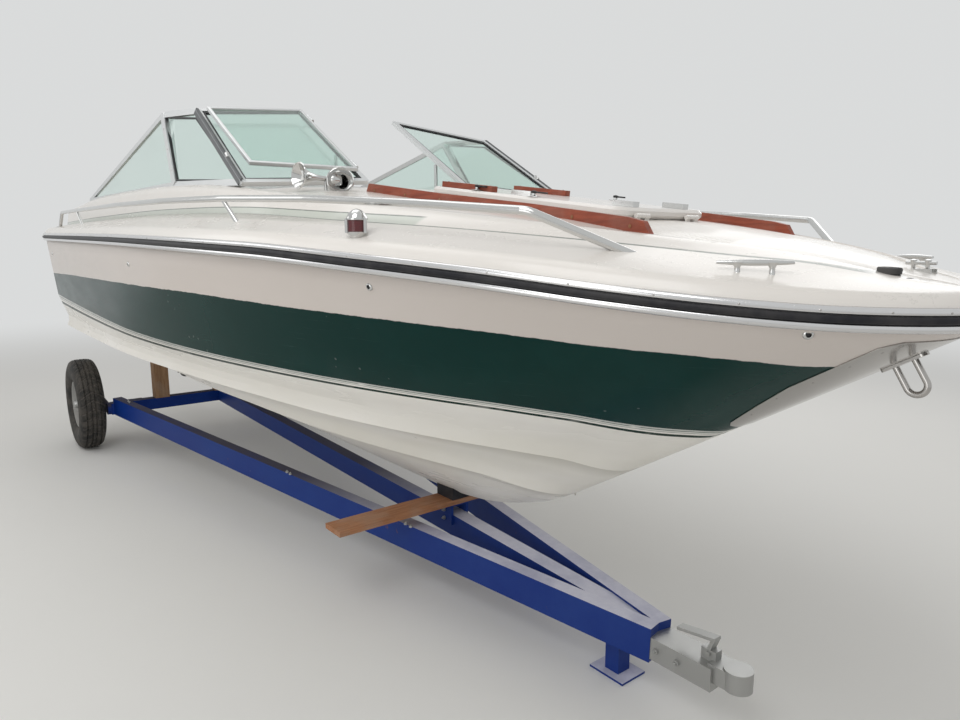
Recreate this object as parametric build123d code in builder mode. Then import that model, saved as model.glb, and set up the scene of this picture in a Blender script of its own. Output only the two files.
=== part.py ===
# A small walk-through sports cruiser on its road trailer, in millimetres.
# X runs to the bow, Y to port and Z up. The origin is on the floor, under the middle of the length.
from build123d import *
from math import cos, radians, sin, sqrt
import os

os.makedirs("parts", exist_ok=True)

# Driving dimensions of the hull
BOW_TIP_X = 3180
TRANSOM_X = -2460
TRANSOM_RAKE = 110
BEAM_HALF = 1070
HULL_WALL = 22
STEM_HALF = 10
DECK_WALL = 14
DECK_GAP = 0.3

# Driving dimensions of the fittings on deck
RAIL_TUBE = 22
RAIL_HEIGHT = 112
TEAK_HEIGHT = 42
TEAK_THICK = 20
GLASS_THICK = 5
FRAME_WIDE = 26
FRAME_DEEP = 18

# Driving dimensions of the trailer
TYRE_DIAMETER = 654
TYRE_WIDTH = 172
TRACK = 1846
BEAM_TALL = 120
BEAM_BROAD = 60
AXLE_X = -2150
NOSE_X = 2320
FIT = 0.3
PIN_PLAY = 0.1


def along(table, x):
    """Height or breadth at x, read between the rows of a short table of (x, value)."""
    if x <= table[0][0]:
        return table[0][1]
    for (x0, v0), (x1, v1) in zip(table, table[1:]):
        if x <= x1:
            return v0 + (v1 - v0) * (x - x0) / (x1 - x0)
    return table[-1][1]


# Lines of the hull: where each one meets the stem, its full half breadth, the length over which it fills out,
# and how much it draws in at the transom. Then its heights, as (x, z) from the transom forward.
SHEER = dict(tip=BOW_TIP_X, half=BEAM_HALF, run=2900, tuck=40,
             z=[(-2460, 1540), (180, 1508), (1430, 1475), (1990, 1441), (2330, 1414), (2610, 1383), (2830, 1360),
                (3010, 1346), (3180, 1340)])
KNUCKLE = dict(tip=2510, half=BEAM_HALF - 38, run=2800, tuck=42,
               z=[(-2460, 1120), (-180, 1086), (1115, 1070), (1710, 1056), (2075, 1040), (2356, 1003), (2510, 930)])
CHINE = dict(tip=2215, half=BEAM_HALF - 88, run=3000, tuck=30,
             z=[(-2460, 890), (90, 920), (880, 906), (1400, 880), (1920, 847), (2106, 818), (2215, 758)])
STRAKE = dict(tip=1950, half=640, run=2300, tuck=10,
              z=[(-2460, 722), (270, 738), (825, 722), (1370, 700), (1710, 672), (1950, 600)])
KEEL_Z = [(-2460, 432), (-1000, 404), (300, 386), (1100, 386), (1380, 408), (1760, 507), (1950, 600), (3180, 1340)]
KEEL_END_X = 1950


def half_breadth(line, x):
    """Half breadth of a hull line at x: a quarter ellipse from the stem, then a slight draw in aft."""
    back = min(max(line["tip"] - x, 0), line["run"]) / line["run"]
    full = line["half"] * sqrt(1 - (1 - back) ** 2)
    aft = max(0, -x) / -TRANSOM_X
    return max(full - line["tuck"] * aft ** 2, STEM_HALF)


def on_plane(line, low, high):
    """The x where a hull line crosses the canted section plane through two points (x, z) of the profile."""
    def gap(x):
        z = along(line["z"], x)
        return x - low[0] - (high[0] - low[0]) * (z - low[1]) / (high[1] - low[1])
    near, far = TRANSOM_X - 200, line["tip"]
    if gap(far) < 0:
        return far
    for _ in range(40):
        mid = (near + far) / 2
        near, far = (mid, far) if gap(mid) < 0 else (near, mid)
    return (near + far) / 2


# Sections of the hull, each a plane that leans with the stem: its x at the sheer and its x at the keel
SECTIONS = [
    (TRANSOM_X, TRANSOM_X + TRANSOM_RAKE), (-1300, -1260), (-200, -200), (280, 263), (600, 555), (880, 776), (1150, 970),
    (1400, 1118), (1650, 1250), (1870, 1358), (2080, 1455), (2265, 1538), (2440, 1617), (2600, 1690), (2740, 1753),
    (2860, 1807), (2960, 1852), (3045, 1890), (3110, 1919), (3152, 1938),
    (3168, 1945), (BOW_TIP_X, KEEL_END_X),
]
CHINE_FLAT = 34
STRAKE_FLAT = 22
FLAT_RUN = 900


def hull_section(x_sheer, x_keel, inset=0, lift=0, stepped=False):
    """Points (x, y, z) of one half section, keel first; inset draws it in, lift raises its keel, and stepped adds the
    flats under the chine and the strake."""
    low = (x_keel, along(KEEL_Z, x_keel))
    high = (x_sheer, along(SHEER["z"], x_sheer))
    points = [(low[0], 0, low[1] + lift)]
    for line, flat in ((STRAKE, STRAKE_FLAT), (CHINE, CHINE_FLAT), (KNUCKLE, 0), (SHEER, 0)):
        x = x_sheer if line is SHEER else on_plane(line, low, high)
        half = max(half_breadth(line, x) - inset, STEM_HALF * 0.5)
        rise = lift if line in (STRAKE, CHINE) else 0
        z = along(line["z"], x) + rise * 0.7
        if stepped and flat:
            points.append((x, half - max(flat * min(1, (line["tip"] - x) / FLAT_RUN), 1), z))
        points.append((x, half, z))
    return points


def section_plane(points):
    """Plane of a canted section, with its own x to port and its own y up along the section."""
    (x0, _, z0), (x1, _, z1) = points[0], points[-1]
    slope = Vector(x1 - x0, 0, z1 - z0).normalized()
    return Plane(origin=(x0, 0, z0), x_dir=(0, 1, 0), z_dir=Vector(0, 1, 0).cross(slope))


def section_sketch(points, top=0):
    """Closed outline of a whole section, both sides, raised above the sheer by top."""
    plane = section_plane(points)
    side = [plane.to_local_coords(Vector(*p)) for p in points]
    right = [(p.X, p.Y) for p in side]
    if top:
        right.append((right[-1][0], right[-1][1] + top))
    left = [(-u, v) for u, v in reversed(right[1:])]
    with BuildSketch(plane) as section:
        with BuildLine():
            Polyline(*right, *left, close=True)
        make_face()
    return section.sketch


# Hull shell: the lofted outside less a loft set in by the wall
with BuildPart() as hull_outside:
    for x_sheer, x_keel in SECTIONS:
        add(section_sketch(hull_section(x_sheer, x_keel, stepped=True)))
    loft(ruled=True)
with BuildPart() as hull_inside:
    for x_sheer, x_keel in SECTIONS[:-4]:
        shift = HULL_WALL * 2 if x_sheer == TRANSOM_X else 0
        add(section_sketch(hull_section(x_sheer + shift, x_keel + shift, HULL_WALL, HULL_WALL * 1.6), top=60))
    loft(ruled=True)
with BuildPart() as hull_shell:
    add(hull_outside.part)
    add(hull_inside.part, mode=Mode.SUBTRACT)

# Deck moulding, by stations: x, crease breadth as a share of the sheer's and its height, the same two for the trunk's
# edge, and crown height
DECK = [
    (-2450, 0.854, 1612, 0.830, 1728, 1735),
    (-1300, 0.839, 1618, 0.812, 1768, 1776),
    (-200, 0.832, 1616, 0.806, 1755, 1763),
    (600, 0.835, 1604, 0.809, 1722, 1748),
    (1150, 0.854, 1588, 0.818, 1672, 1692),
    (1650, 0.843, 1555, 0.779, 1612, 1626),
    (2080, 0.781, 1524, 0.694, 1562, 1576),
    (2440, 0.700, 1490, 0.588, 1516, 1530),
    (2740, 0.609, 1456, 0.462, 1474, 1484),
    (2960, 0.465, 1424, 0.318, 1432, 1438),
    (3110, 0.385, 1404, 0.214, 1406, 1408),
    (3168, 0.411, 1395, 0.206, 1397, 1398),
]
EDGE_IN = 34
EDGE_UP = 52
COCKPIT_FRONT_X = 480
COCKPIT_BACK_X = -2260
SIDE_DECK = 244
COCKPIT_HALF = BEAM_HALF - SIDE_DECK
PASSAGE_FRONT_X = 880
PASSAGE_HALF = 250
HATCH_BACK_X = 1330
HATCH_FRONT_X = 2290
HATCH_HALF = 215
SOLE_Z = 880


def deck_row(x):
    """The deck's station at any x, read between the rows of its table."""
    half = half_breadth(SHEER, x)
    share_c, crease_z, share_t, trunk_z, crown_z = (
        along([(row[0], row[column]) for row in DECK], x) for column in range(1, 6))
    return share_c * half, crease_z, share_t * half, trunk_z, crown_z


DECK_STATIONS = [DECK[0][0]] + [x for x, _ in SECTIONS[1:-1]]


def deck_outline(x, drop=0, inset=0, shift=0):
    """Outline of one deck station, both sides, above the sheer."""
    crease_y, crease_z, trunk_y, trunk_z, crown_z = deck_row(x)
    half = half_breadth(SHEER, x) - inset
    sheer_z = along(SHEER["z"], x) + DECK_GAP
    right = [
        (half, sheer_z - (40 if drop else 0)), (half - EDGE_IN * 0.4, sheer_z + EDGE_UP * 0.55 - drop),
        (half - EDGE_IN, sheer_z + EDGE_UP - drop), (crease_y - inset * 0.3, crease_z - drop),
        (trunk_y - inset, trunk_z - drop), (0, crown_z - drop),
    ]
    left = [(-y, z) for y, z in reversed(right[:-1])]
    with BuildSketch(Plane(origin=(x + shift, 0, 0), x_dir=(0, 1, 0), z_dir=(1, 0, 0))) as outline:
        with BuildLine():
            Polyline(*right, *left, close=True)
        make_face()
    return outline.sketch


def deck_height(x, y):
    """Height of the deck's top face at a point."""
    crease_y, crease_z, trunk_y, trunk_z, crown_z = deck_row(x)
    if abs(y) <= trunk_y:
        return crown_z + (trunk_z - crown_z) * abs(y) / trunk_y
    if abs(y) <= crease_y:
        return trunk_z + (crease_z - trunk_z) * (abs(y) - trunk_y) / (crease_y - trunk_y)
    edge_y = half_breadth(SHEER, x) - EDGE_IN
    edge_z = along(SHEER["z"], x) + EDGE_UP + DECK_GAP
    return crease_z + (edge_z - crease_z) * (abs(y) - crease_y) / (edge_y - crease_y)


with BuildPart() as deck_outside:
    for x in DECK_STATIONS:
        add(deck_outline(x))
    loft(ruled=True)
with BuildPart() as deck_inside:
    for x in DECK_STATIONS[:-4]:
        add(deck_outline(x, DECK_WALL, DECK_WALL, DECK_WALL if x == DECK[0][0] else 0))
    loft(ruled=True)
with BuildPart() as deck:
    add(deck_outside.part)
    add(deck_inside.part, mode=Mode.SUBTRACT)
    with Locations(((COCKPIT_FRONT_X + COCKPIT_BACK_X) / 2, 0, 1700)):
        Box(COCKPIT_FRONT_X - COCKPIT_BACK_X, 2 * COCKPIT_HALF, 600, mode=Mode.SUBTRACT)
    with Locations(((COCKPIT_FRONT_X + PASSAGE_FRONT_X) / 2, 0, 1700)):
        Box(PASSAGE_FRONT_X - COCKPIT_FRONT_X + 2, 2 * PASSAGE_HALF, 600, mode=Mode.SUBTRACT)
    with Locations(((HATCH_BACK_X + HATCH_FRONT_X) / 2, 0, 1600)):
        Box(HATCH_FRONT_X - HATCH_BACK_X - 120, 2 * HATCH_HALF - 90, 600, mode=Mode.SUBTRACT)


def rod(start, end, radius):
    """A round bar from one point to another."""
    run = Vector(*end) - Vector(*start)
    with BuildPart() as piece:
        with BuildSketch(Plane(origin=start, z_dir=run)):
            Circle(radius)
        extrude(amount=run.length)
    return piece.part


def bar(start, end, wide, deep, across):
    """A square bar from one point to another, its width along the direction across."""
    run = Vector(*end) - Vector(*start)
    with BuildPart() as piece:
        with BuildSketch(Plane(origin=start, x_dir=across, z_dir=run)):
            Rectangle(wide, deep)
        extrude(amount=run.length)
    return piece.part


def pane(points, thick):
    """A flat pane through corner points, half its thickness each side of their plane."""
    corner = Vector(*points[0])
    first = Vector(*points[1]) - corner
    last = Vector(*points[-1]) - corner
    plane = Plane(origin=corner, x_dir=first, z_dir=first.cross(last))
    flat = [plane.to_local_coords(Vector(*point)) for point in points]
    with BuildPart() as piece:
        with BuildSketch(plane):
            with BuildLine():
                Polyline(*[(p.X, p.Y) for p in flat], close=True)
            make_face()
        extrude(amount=thick / 2, both=True)
    return piece.part


def block(low, high):
    """A box between two opposite corners."""
    size = [b - a for a, b in zip(low, high)]
    with BuildPart() as piece:
        with Locations(tuple((a + b) / 2 for a, b in zip(low, high))):
            Box(*size)
    return piece.part


def mirrored(point, side):
    """A point with its y on the given side, -1 for starboard."""
    return (point[0], side * point[1], point[2])


# Rub rail: a broad bright moulding along the sheer, with a black insert let into its face
RAIL_TALL = 50
RAIL_DEEP = 16
INSERT_TALL = 20
INSERT_DEEP = 8


def sheer_path():
    """Points and outward directions along the sheer, from the starboard quarter to the bow."""
    side = [(x, -half_breadth(SHEER, x)) for x, _ in SECTIONS[:-1]] + [(BOW_TIP_X, 0)]
    round_bow = side + [(side[-2][0], -side[-2][1])]
    path = []
    for i, (x, y) in enumerate(side):
        x0, y0 = round_bow[max(i - 1, 0)]
        x1, y1 = round_bow[i + 1]
        path.append((x, y, along(SHEER["z"], x), Vector(y1 - y0, x0 - x1, 0).normalized()))
    return path


def moulding(inner, outer, tall):
    """A band of rectangular section along the sheer, between two distances out from the hull."""
    with BuildPart() as piece:
        for x, y, z, out in sheer_path():
            with BuildSketch(Plane(origin=(x, y, z), x_dir=out, z_dir=Vector(0, 0, 1).cross(out))):
                with Locations(((inner + outer) / 2, 0)):
                    Rectangle(outer - inner, tall)
        loft(ruled=True)
        mirror(about=Plane.XZ)
    return piece.part


with BuildPart() as rub_rail:
    add(moulding(1.5, RAIL_DEEP, RAIL_TALL))
    add(moulding(RAIL_DEEP - INSERT_DEEP, RAIL_DEEP + 2, INSERT_TALL), mode=Mode.SUBTRACT)
with BuildPart() as rub_rail_insert:
    add(moulding(RAIL_DEEP - INSERT_DEEP + FIT, RAIL_DEEP + 5, INSERT_TALL - 2 * FIT))
    add(deck_outside.part, mode=Mode.SUBTRACT)

# Stem guard: a thin plate folded round the stem above the knuckle, and the bow eye through it
GUARD_THICK = 3
GUARD_WIDE = 78
GUARD_LOW_X = 2500
with BuildPart() as guard_outside:
    for x_sheer, x_keel in SECTIONS[-10:-1]:
        add(section_sketch(hull_section(x_sheer, x_keel, -GUARD_THICK)))
    add(section_sketch(hull_section(BOW_TIP_X + 8, KEEL_END_X + 8, -GUARD_THICK)))
    loft(ruled=True)
stem_slope = Vector(BOW_TIP_X - KEEL_END_X, 0, along(SHEER["z"], BOW_TIP_X) - along(KEEL_Z, KEEL_END_X)).normalized()
stem_foot = Vector(GUARD_LOW_X, 0, along(KEEL_Z, GUARD_LOW_X))
guard_plane = Plane(origin=stem_foot, x_dir=(0, 1, 0), z_dir=stem_slope)
with BuildPart() as stem_guard:
    with BuildSketch(guard_plane):
        Rectangle(400, 2 * GUARD_WIDE)
    extrude(amount=690)
    add(guard_outside.part, mode=Mode.INTERSECT)
    add(hull_outside.part, mode=Mode.SUBTRACT)
    add(rub_rail.part, mode=Mode.SUBTRACT)

EYE_ROD = 16
EYE_X = 2985
EYE_SPAN = 46
EYE_REACH = 62
stem_out = Vector(stem_slope.Z, 0, -stem_slope.X)
eye_root = Vector(EYE_X, 0, along(KEEL_Z, EYE_X)) + stem_out * (GUARD_THICK + FIT)
with BuildPart() as bow_eye:
    with BuildSketch(Plane(origin=eye_root, x_dir=(0, 1, 0), z_dir=stem_out)):
        RectangleRounded(34, 110, 12)
    extrude(amount=7)
    with BuildLine() as eye_line:
        legs = [eye_root + stem_slope * (side * EYE_SPAN / 2) for side in (-1, 1)]
        reach = stem_out * EYE_REACH
        first = Line(legs[0], legs[0] + reach)
        ThreePointArc(first @ 1, eye_root + reach + stem_out * (EYE_SPAN / 2), legs[1] + reach)
        Line(legs[1] + reach, legs[1])
    with BuildSketch(Plane(origin=legs[0], z_dir=stem_out)):
        Circle(EYE_ROD / 2)
    sweep(path=eye_line.wires()[0])
    add(stem_guard.part, mode=Mode.SUBTRACT)


def hinge_leaves(at, run, fixed_to, moving_to, half=30, knuckle=7, pin=3.5):
    """Fixed leaf with its pin and two knuckles, and moving leaf with the middle knuckle, of a hinge at a point."""
    third = half / 3
    with BuildPart() as fixed:
        add(rod(at - run * half, at + run * half, pin))
        for low, high in ((-half, -third - 0.5), (third + 0.5, half)):
            middle = run * ((low + high) / 2)
            add(rod(at + run * low, at + run * high, knuckle))
            add(bar(at + middle, fixed_to + middle, high - low, 4, run))
    with BuildPart() as moving:
        add(rod(at - run * (third - 0.5), at + run * (third - 0.5), knuckle))
        add(bar(at, moving_to, 2 * third - 1, 4, run))
        add(rod(at - run * half, at + run * half, pin + PIN_PLAY), mode=Mode.SUBTRACT)
    return fixed.part, moving.part


# Windscreen: one raked plane right across, X = foot - RAKE * (z - foot height), with a side wing each side
SCREEN_FOOT_X = 985
SCREEN_FOOT_Z = 1722
SCREEN_RAKE = 1.7


def on_screen(y, z):
    """A point of the raked front plane."""
    return (SCREEN_FOOT_X - SCREEN_RAKE * (z - SCREEN_FOOT_Z), y, z)


CORNER_LOW = on_screen(COCKPIT_HALF - 8, 1716)
CORNER_HIGH = on_screen(COCKPIT_HALF - 41, 2050)
INNER_LOW = on_screen(268, 1752)
INNER_HIGH = on_screen(268, 2116)
POST_LOW = (250, COCKPIT_HALF + 20, 1752)
POST_HIGH = (15, COCKPIT_HALF - 14, 2085)
WING_END = (-1700, COCKPIT_HALF + 16, 1772)
FRONT_NORMAL = Vector(1, 0, SCREEN_RAKE).normalized()


def loop_frame(points, wide, deep, normal):
    """Bars round a loop of corner points, their depth along the pane's normal."""
    with BuildPart() as frame:
        for a, b in zip(points, points[1:] + points[:1]):
            run = Vector(*b) - Vector(*a)
            add(bar(a, b, wide, deep, run.cross(normal)))
        for point in points:
            with Locations(Location(Plane(origin=point, z_dir=normal))):
                Cylinder(wide / 2, deep)
    return frame.part


def pane_normal(points):
    """Unit normal of the plane through the first three points."""
    a, b, c = (Vector(*p) for p in points[:3])
    return (b - a).cross(c - a).normalized()


screen_frames = {}
screen_glass = {}
for side, name in ((-1, "starboard"), (1, "port")):
    front = [mirrored(p, side) for p in (CORNER_LOW, CORNER_HIGH, INNER_HIGH, INNER_LOW)]
    wing = [mirrored(p, side) for p in (CORNER_LOW, CORNER_HIGH, POST_HIGH, POST_LOW)]
    tail = [mirrored(p, side) for p in (POST_LOW, POST_HIGH, WING_END)]
    with BuildPart() as frame:
        add(loop_frame(front, FRAME_WIDE, FRAME_DEEP, pane_normal(front)))
        add(loop_frame(wing, FRAME_WIDE, FRAME_DEEP, pane_normal(wing)))
        add(loop_frame(tail, FRAME_WIDE, FRAME_DEEP, pane_normal(tail)))
        add(bar(wing[3], wing[2], 44, FRAME_DEEP + 4, Vector(1, 0, 0)))
        add(deck_outside.part, mode=Mode.SUBTRACT)
    with BuildPart() as glass:
        for corners in (front, wing, tail):
            add(pane(corners, GLASS_THICK))
        add(frame.part, mode=Mode.SUBTRACT)
        add(deck_outside.part, mode=Mode.SUBTRACT)
    screen_frames[name] = frame
    screen_glass[name] = glass

# Centre door of the windscreen, swung right round on its starboard post so that it lies on the front panel
HINGE_OUT = 20
DOOR_GAP = 12
DOOR_END_GAP = 8
door_low = Vector(*mirrored(INNER_LOW, -1))
door_high = Vector(*mirrored(INNER_HIGH, -1))
post_run = (door_high - door_low).normalized()
door_lift = FRONT_NORMAL * (HINGE_OUT * 2)
door_near = Vector(0, -(FRAME_WIDE / 2 + DOOR_GAP + 6), 0)
door_wide = 2 * 268 - 1.5 * FRAME_WIDE - DOOR_GAP - DOOR_END_GAP - 4
door_corners = [
    tuple(door_low + door_lift + door_near + post_run * 24),
    tuple(door_high + door_lift + door_near - post_run * 10),
    tuple(door_high + door_lift + door_near - post_run * 10 - Vector(0, door_wide, 0)),
    tuple(door_low + door_lift + door_near + post_run * 24 - Vector(0, door_wide, 0)),
]
door_axis = door_low + FRONT_NORMAL * HINGE_OUT
DOOR_HINGES = (120, 600)
door_leaves = [
    hinge_leaves(door_axis + post_run * u, post_run, door_axis + post_run * u - FRONT_NORMAL * 14,
                 door_axis + post_run * u + FRONT_NORMAL * 14 - Vector(0, 24, 0)) for u in DOOR_HINGES
]
with BuildPart() as screen_frame_starboard:
    add(screen_frames["starboard"].part)
    for fixed, _ in door_leaves:
        add(fixed)
with BuildPart() as windscreen_door_frame:
    add(loop_frame(door_corners, FRAME_WIDE - 4, FRAME_DEEP - 2, FRONT_NORMAL))
    for _, moving in door_leaves:
        add(moving)
with BuildPart() as windscreen_door_glass:
    add(pane(door_corners, GLASS_THICK))
    add(windscreen_door_frame.part, mode=Mode.SUBTRACT)

# Struts from the inner posts down to the dash top
with BuildPart() as windscreen_struts:
    for side in (-1, 1):
        top = Vector(*mirrored(INNER_LOW, side)) * 0.62 + Vector(*mirrored(INNER_HIGH, side)) * 0.38
        top = top - FRONT_NORMAL * (FRAME_DEEP / 2 + 0.4) + Vector(-12, side * 6, -6)
        foot_z = deck_height(top.X, abs(top.Y)) + FIT
        add(rod((top.X, top.Y, foot_z), (top.X, top.Y, top.Z), 9))
        add(rod((top.X, top.Y, foot_z), (top.X, top.Y, foot_z + 6), 20))
    add(deck_outside.part, mode=Mode.SUBTRACT)

# Hand rails along both side decks: a tube on two stanchions, bent down to a foot at each end
RAIL_IN = 62
RAIL_STATIONS = (2080, 1650, 1150, 600, -200, -1300)
rails = {}
for side, name in ((-1, "starboard"), (1, "port")):
    def on_edge(x, up):
        """A point over the deck's edge."""
        return (x, side * (half_breadth(SHEER, x) - RAIL_IN), along(SHEER["z"], x) + EDGE_UP + up)
    front_foot = (2589, side * 488, deck_height(2589, 488) + FIT)
    aft_foot = on_edge(-2120, 14)
    route = [front_foot, on_edge(2400, RAIL_HEIGHT)] + [on_edge(x, RAIL_HEIGHT) for x in RAIL_STATIONS]
    route += [on_edge(-1960, RAIL_HEIGHT), aft_foot]
    with BuildPart() as rail:
        with BuildLine() as rail_line:
            FilletPolyline(*route, radius=[60] + [300] * len(RAIL_STATIONS) + [60])
        with BuildSketch(Plane(origin=rail_line.line @ 0, z_dir=rail_line.line % 0)):
            Circle(RAIL_TUBE / 2)
        sweep(path=rail_line.wires()[0])
        for x in (1240, -1250):
            foot = (x, side * (half_breadth(SHEER, x) - RAIL_IN - 18), deck_height(x, half_breadth(SHEER, x) - RAIL_IN - 18))
            add(rod((foot[0], foot[1], foot[2] + 2), on_edge(x - 70, RAIL_HEIGHT - 2), 8))
            add(rod((foot[0], foot[1], foot[2] + 1), (foot[0], foot[1], foot[2] + 8), 22))
        for foot in (front_foot, aft_foot):
            add(rod((foot[0], foot[1], foot[2] - 4), (foot[0], foot[1], foot[2] + 6), 22))
        add(deck_outside.part, mode=Mode.SUBTRACT)
    rails[name] = rail

# Teak boards on edge along the walkway, their lower edges on the deck's crown
TEAK_AFT = (1210, 415)
TEAK_FORE = (2516, 347)
TEAK_SLANT = 26
teak_run = Vector(TEAK_FORE[0] - TEAK_AFT[0], TEAK_FORE[1] - TEAK_AFT[1], 0)
with BuildPart() as teak_boards:
    for side in (-1, 1):
        origin = Vector(TEAK_AFT[0], side * TEAK_AFT[1], 0)
        run = Vector(teak_run.X, side * teak_run.Y, 0)
        lower = []
        for x in (TEAK_AFT[0], 1650, 2080, 2440, TEAK_FORE[0]):
            share = (x - TEAK_AFT[0]) / (TEAK_FORE[0] - TEAK_AFT[0])
            y = TEAK_AFT[1] + share * (TEAK_FORE[1] - TEAK_AFT[1])
            lower.append((share * teak_run.length, deck_height(x, y) + FIT))
        upper = [(u, z + TEAK_HEIGHT) for u, z in lower]
        upper[-1] = (upper[-1][0] - TEAK_SLANT, upper[-1][1])
        upper[0] = (upper[0][0] + TEAK_SLANT, upper[0][1])
        with BuildSketch(Plane(origin=origin, x_dir=run, z_dir=run.cross(Vector(0, 0, 1)))):
            with BuildLine():
                Polyline(*lower, *reversed(upper), close=True)
            make_face()
        extrude(amount=TEAK_THICK / 2, both=True)
    add(deck_outside.part, mode=Mode.SUBTRACT)

# Cabin hatch on the foredeck: a raised coaming, and a lid hinged at its forward end
hatch_mid_x = (HATCH_BACK_X + HATCH_FRONT_X) / 2
hatch_slope = Vector(HATCH_FRONT_X - HATCH_BACK_X, 0,
                     deck_height(HATCH_FRONT_X, 0) - deck_height(HATCH_BACK_X, 0)).normalized()
hatch_up = Vector(-hatch_slope.Z, 0, hatch_slope.X)
hatch_seat = Plane(origin=Vector(hatch_mid_x, 0, deck_height(hatch_mid_x, 0) + 16), x_dir=hatch_slope, z_dir=hatch_up)
HATCH_LONG = HATCH_FRONT_X - HATCH_BACK_X
LID_THICK = 30
LID_GAP = 1
hatch_leaves = []
for y in (-120, 120):
    at = hatch_seat.from_local_coords((HATCH_LONG / 2 + 9, y, 9))
    hatch_leaves.append(hinge_leaves(at, Vector(0, 1, 0), at - hatch_up * 34, at - hatch_slope * 22 + hatch_up * 4))
with BuildPart() as hatch_coaming:
    with BuildSketch(hatch_seat):
        RectangleRounded(HATCH_LONG - 40, 2 * HATCH_HALF - 20, 34)
        RectangleRounded(HATCH_LONG - 110, 2 * HATCH_HALF - 80, 14, mode=Mode.SUBTRACT)
    extrude(amount=-60)
    for fixed, _ in hatch_leaves:
        add(fixed)
    add(deck_outside.part, mode=Mode.SUBTRACT)
with BuildPart() as cabin_hatch:
    with BuildSketch(hatch_seat.offset(LID_GAP)):
        RectangleRounded(HATCH_LONG, 2 * HATCH_HALF, 46)
    extrude(amount=LID_THICK)
    chamfer(cabin_hatch.faces().sort_by(Axis.Z)[-1].edges(), 9)
    for _, moving in hatch_leaves:
        add(moving)
with BuildPart() as hatch_strips:
    for side in (-1, 1):
        with BuildSketch(hatch_seat.offset(LID_GAP + LID_THICK + FIT)):
            with Locations((-HATCH_LONG / 2 + 205, side * (HATCH_HALF - 34))):
                Rectangle(300, 26)
        extrude(amount=20)
with BuildPart() as hatch_fittings:
    with BuildSketch(hatch_seat.offset(LID_GAP + LID_THICK + FIT)):
        with Locations((20, -(HATCH_HALF - 40))):
            Rectangle(96, 24)
        with Locations((HATCH_LONG / 2 - 60, -120), (HATCH_LONG / 2 - 60, 120)):
            Rectangle(80, 28)
    extrude(amount=16)

# Deck hardware: cleats, anchor locker vent, bow fitting, side lights, horns
CLEAT_AT = (2790, 400)
with BuildPart() as deck_cleats:
    for side in (-1, 1):
        base = deck_height(CLEAT_AT[0], CLEAT_AT[1])
        for shift in (-38, 38):
            spot = (CLEAT_AT[0] + shift, side * (CLEAT_AT[1] - shift * 0.8))
            low = deck_height(*spot) + FIT
            add(rod((*spot, low), (*spot, low + 6), 17))
            add(rod((*spot, low), (*spot, base + 44), 7))
        ends = [(CLEAT_AT[0] + s, side * (CLEAT_AT[1] - s * 0.8), base + 48) for s in (-80, 80)]
        add(rod(*ends, 8))
    add(deck_outside.part, mode=Mode.SUBTRACT)
with BuildPart() as deck_vent:
    vent_z = deck_height(2915, 62) + 2
    add(rod((2915, -50, vent_z), (2915, -50, vent_z + 9), 86))
    add(rod((2915, -50, vent_z + 9), (2915, -50, vent_z + 38), 46))
    add(deck_outside.part, mode=Mode.SUBTRACT)
with BuildPart() as bow_fitting:
    add(block((2985, 18, deck_height(3000, 18)), (3065, 92, deck_height(3000, 18) + 12)))
    add(rod((3005, 55, deck_height(3000, 18) + 10), (3005, 55, deck_height(3000, 18) + 58), 9))
    add(rod((3045, 55, deck_height(3000, 18) + 10), (3045, 55, deck_height(3000, 18) + 58), 9))
    add(rod((2985, 55, deck_height(3000, 18) + 54), (3065, 55, deck_height(3000, 18) + 54), 9))
    add(deck_outside.part, mode=Mode.SUBTRACT)
LIGHT_AT = (1822, 800)
with BuildPart() as side_lights:
    for side in (-1, 1):
        spot = (LIGHT_AT[0], side * LIGHT_AT[1])
        low = deck_height(*spot) + FIT
        add(rod((*spot, low - 4), (*spot, low + 8), 40))
        add(rod((*spot, low + 6), (*spot, low + 20), 24))
        with Locations((spot[0], spot[1], low + 48)):
            Sphere(36)
    add(deck_outside.part, mode=Mode.SUBTRACT)
    for side in (-1, 1):
        spot = (LIGHT_AT[0] + 18, side * (LIGHT_AT[1] + 18), deck_height(*LIGHT_AT) + FIT + 42)
        with Locations(Location(spot, (0, 0, side * 45))):
            Box(60, 52, 30, mode=Mode.SUBTRACT)
with BuildPart() as side_light_lenses:
    for side in (-1, 1):
        spot = (LIGHT_AT[0], side * LIGHT_AT[1], deck_height(*LIGHT_AT) + FIT + 48)
        with Locations(spot):
            Sphere(33)
    with Locations((0, 0, deck_height(*LIGHT_AT) + FIT + 42)):
        Box(8000, 4000, 29, mode=Mode.INTERSECT)
    add(side_lights.part, mode=Mode.SUBTRACT)
HORNS = ((1170, 672, 1725, 52), (1215, 512, 1722, 58))
HORN_AIM = Vector(0.9, -0.43, 0)
with BuildPart() as horns:
    for x, y, z, mouth in HORNS:
        throat = Vector(x, -y, z) - HORN_AIM * 150
        with BuildSketch(Plane(origin=throat, z_dir=HORN_AIM)):
            Circle(12)
        extrude(amount=95)
        with BuildSketch(Plane(origin=throat + HORN_AIM.normalized() * 95, z_dir=HORN_AIM)):
            Circle(12)
        with BuildSketch(Plane(origin=throat + HORN_AIM.normalized() * 150, z_dir=HORN_AIM)):
            Circle(mouth)
        loft()
        foot = (throat.X + 40, throat.Y - 18, deck_height(throat.X + 40, abs(throat.Y - 18)) + FIT)
        add(rod(foot, (foot[0], foot[1], z), 9))
        add(rod(foot, (foot[0], foot[1], foot[2] + 6), 24))
    add(deck_outside.part, mode=Mode.SUBTRACT)

# Cockpit liner: sole, sides, aft wall, dash fronts, passage to the cabin, benches and engine box
LINER_WALL = 12
PASSAGE_BACK_X = 480
BULKHEAD_X = 900
BENCH_FRONT_X = -1560
BENCH_TOP_Z = 1200
ENGINE_BOX_HALF = 345
BERTH_Z = 1040


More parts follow.
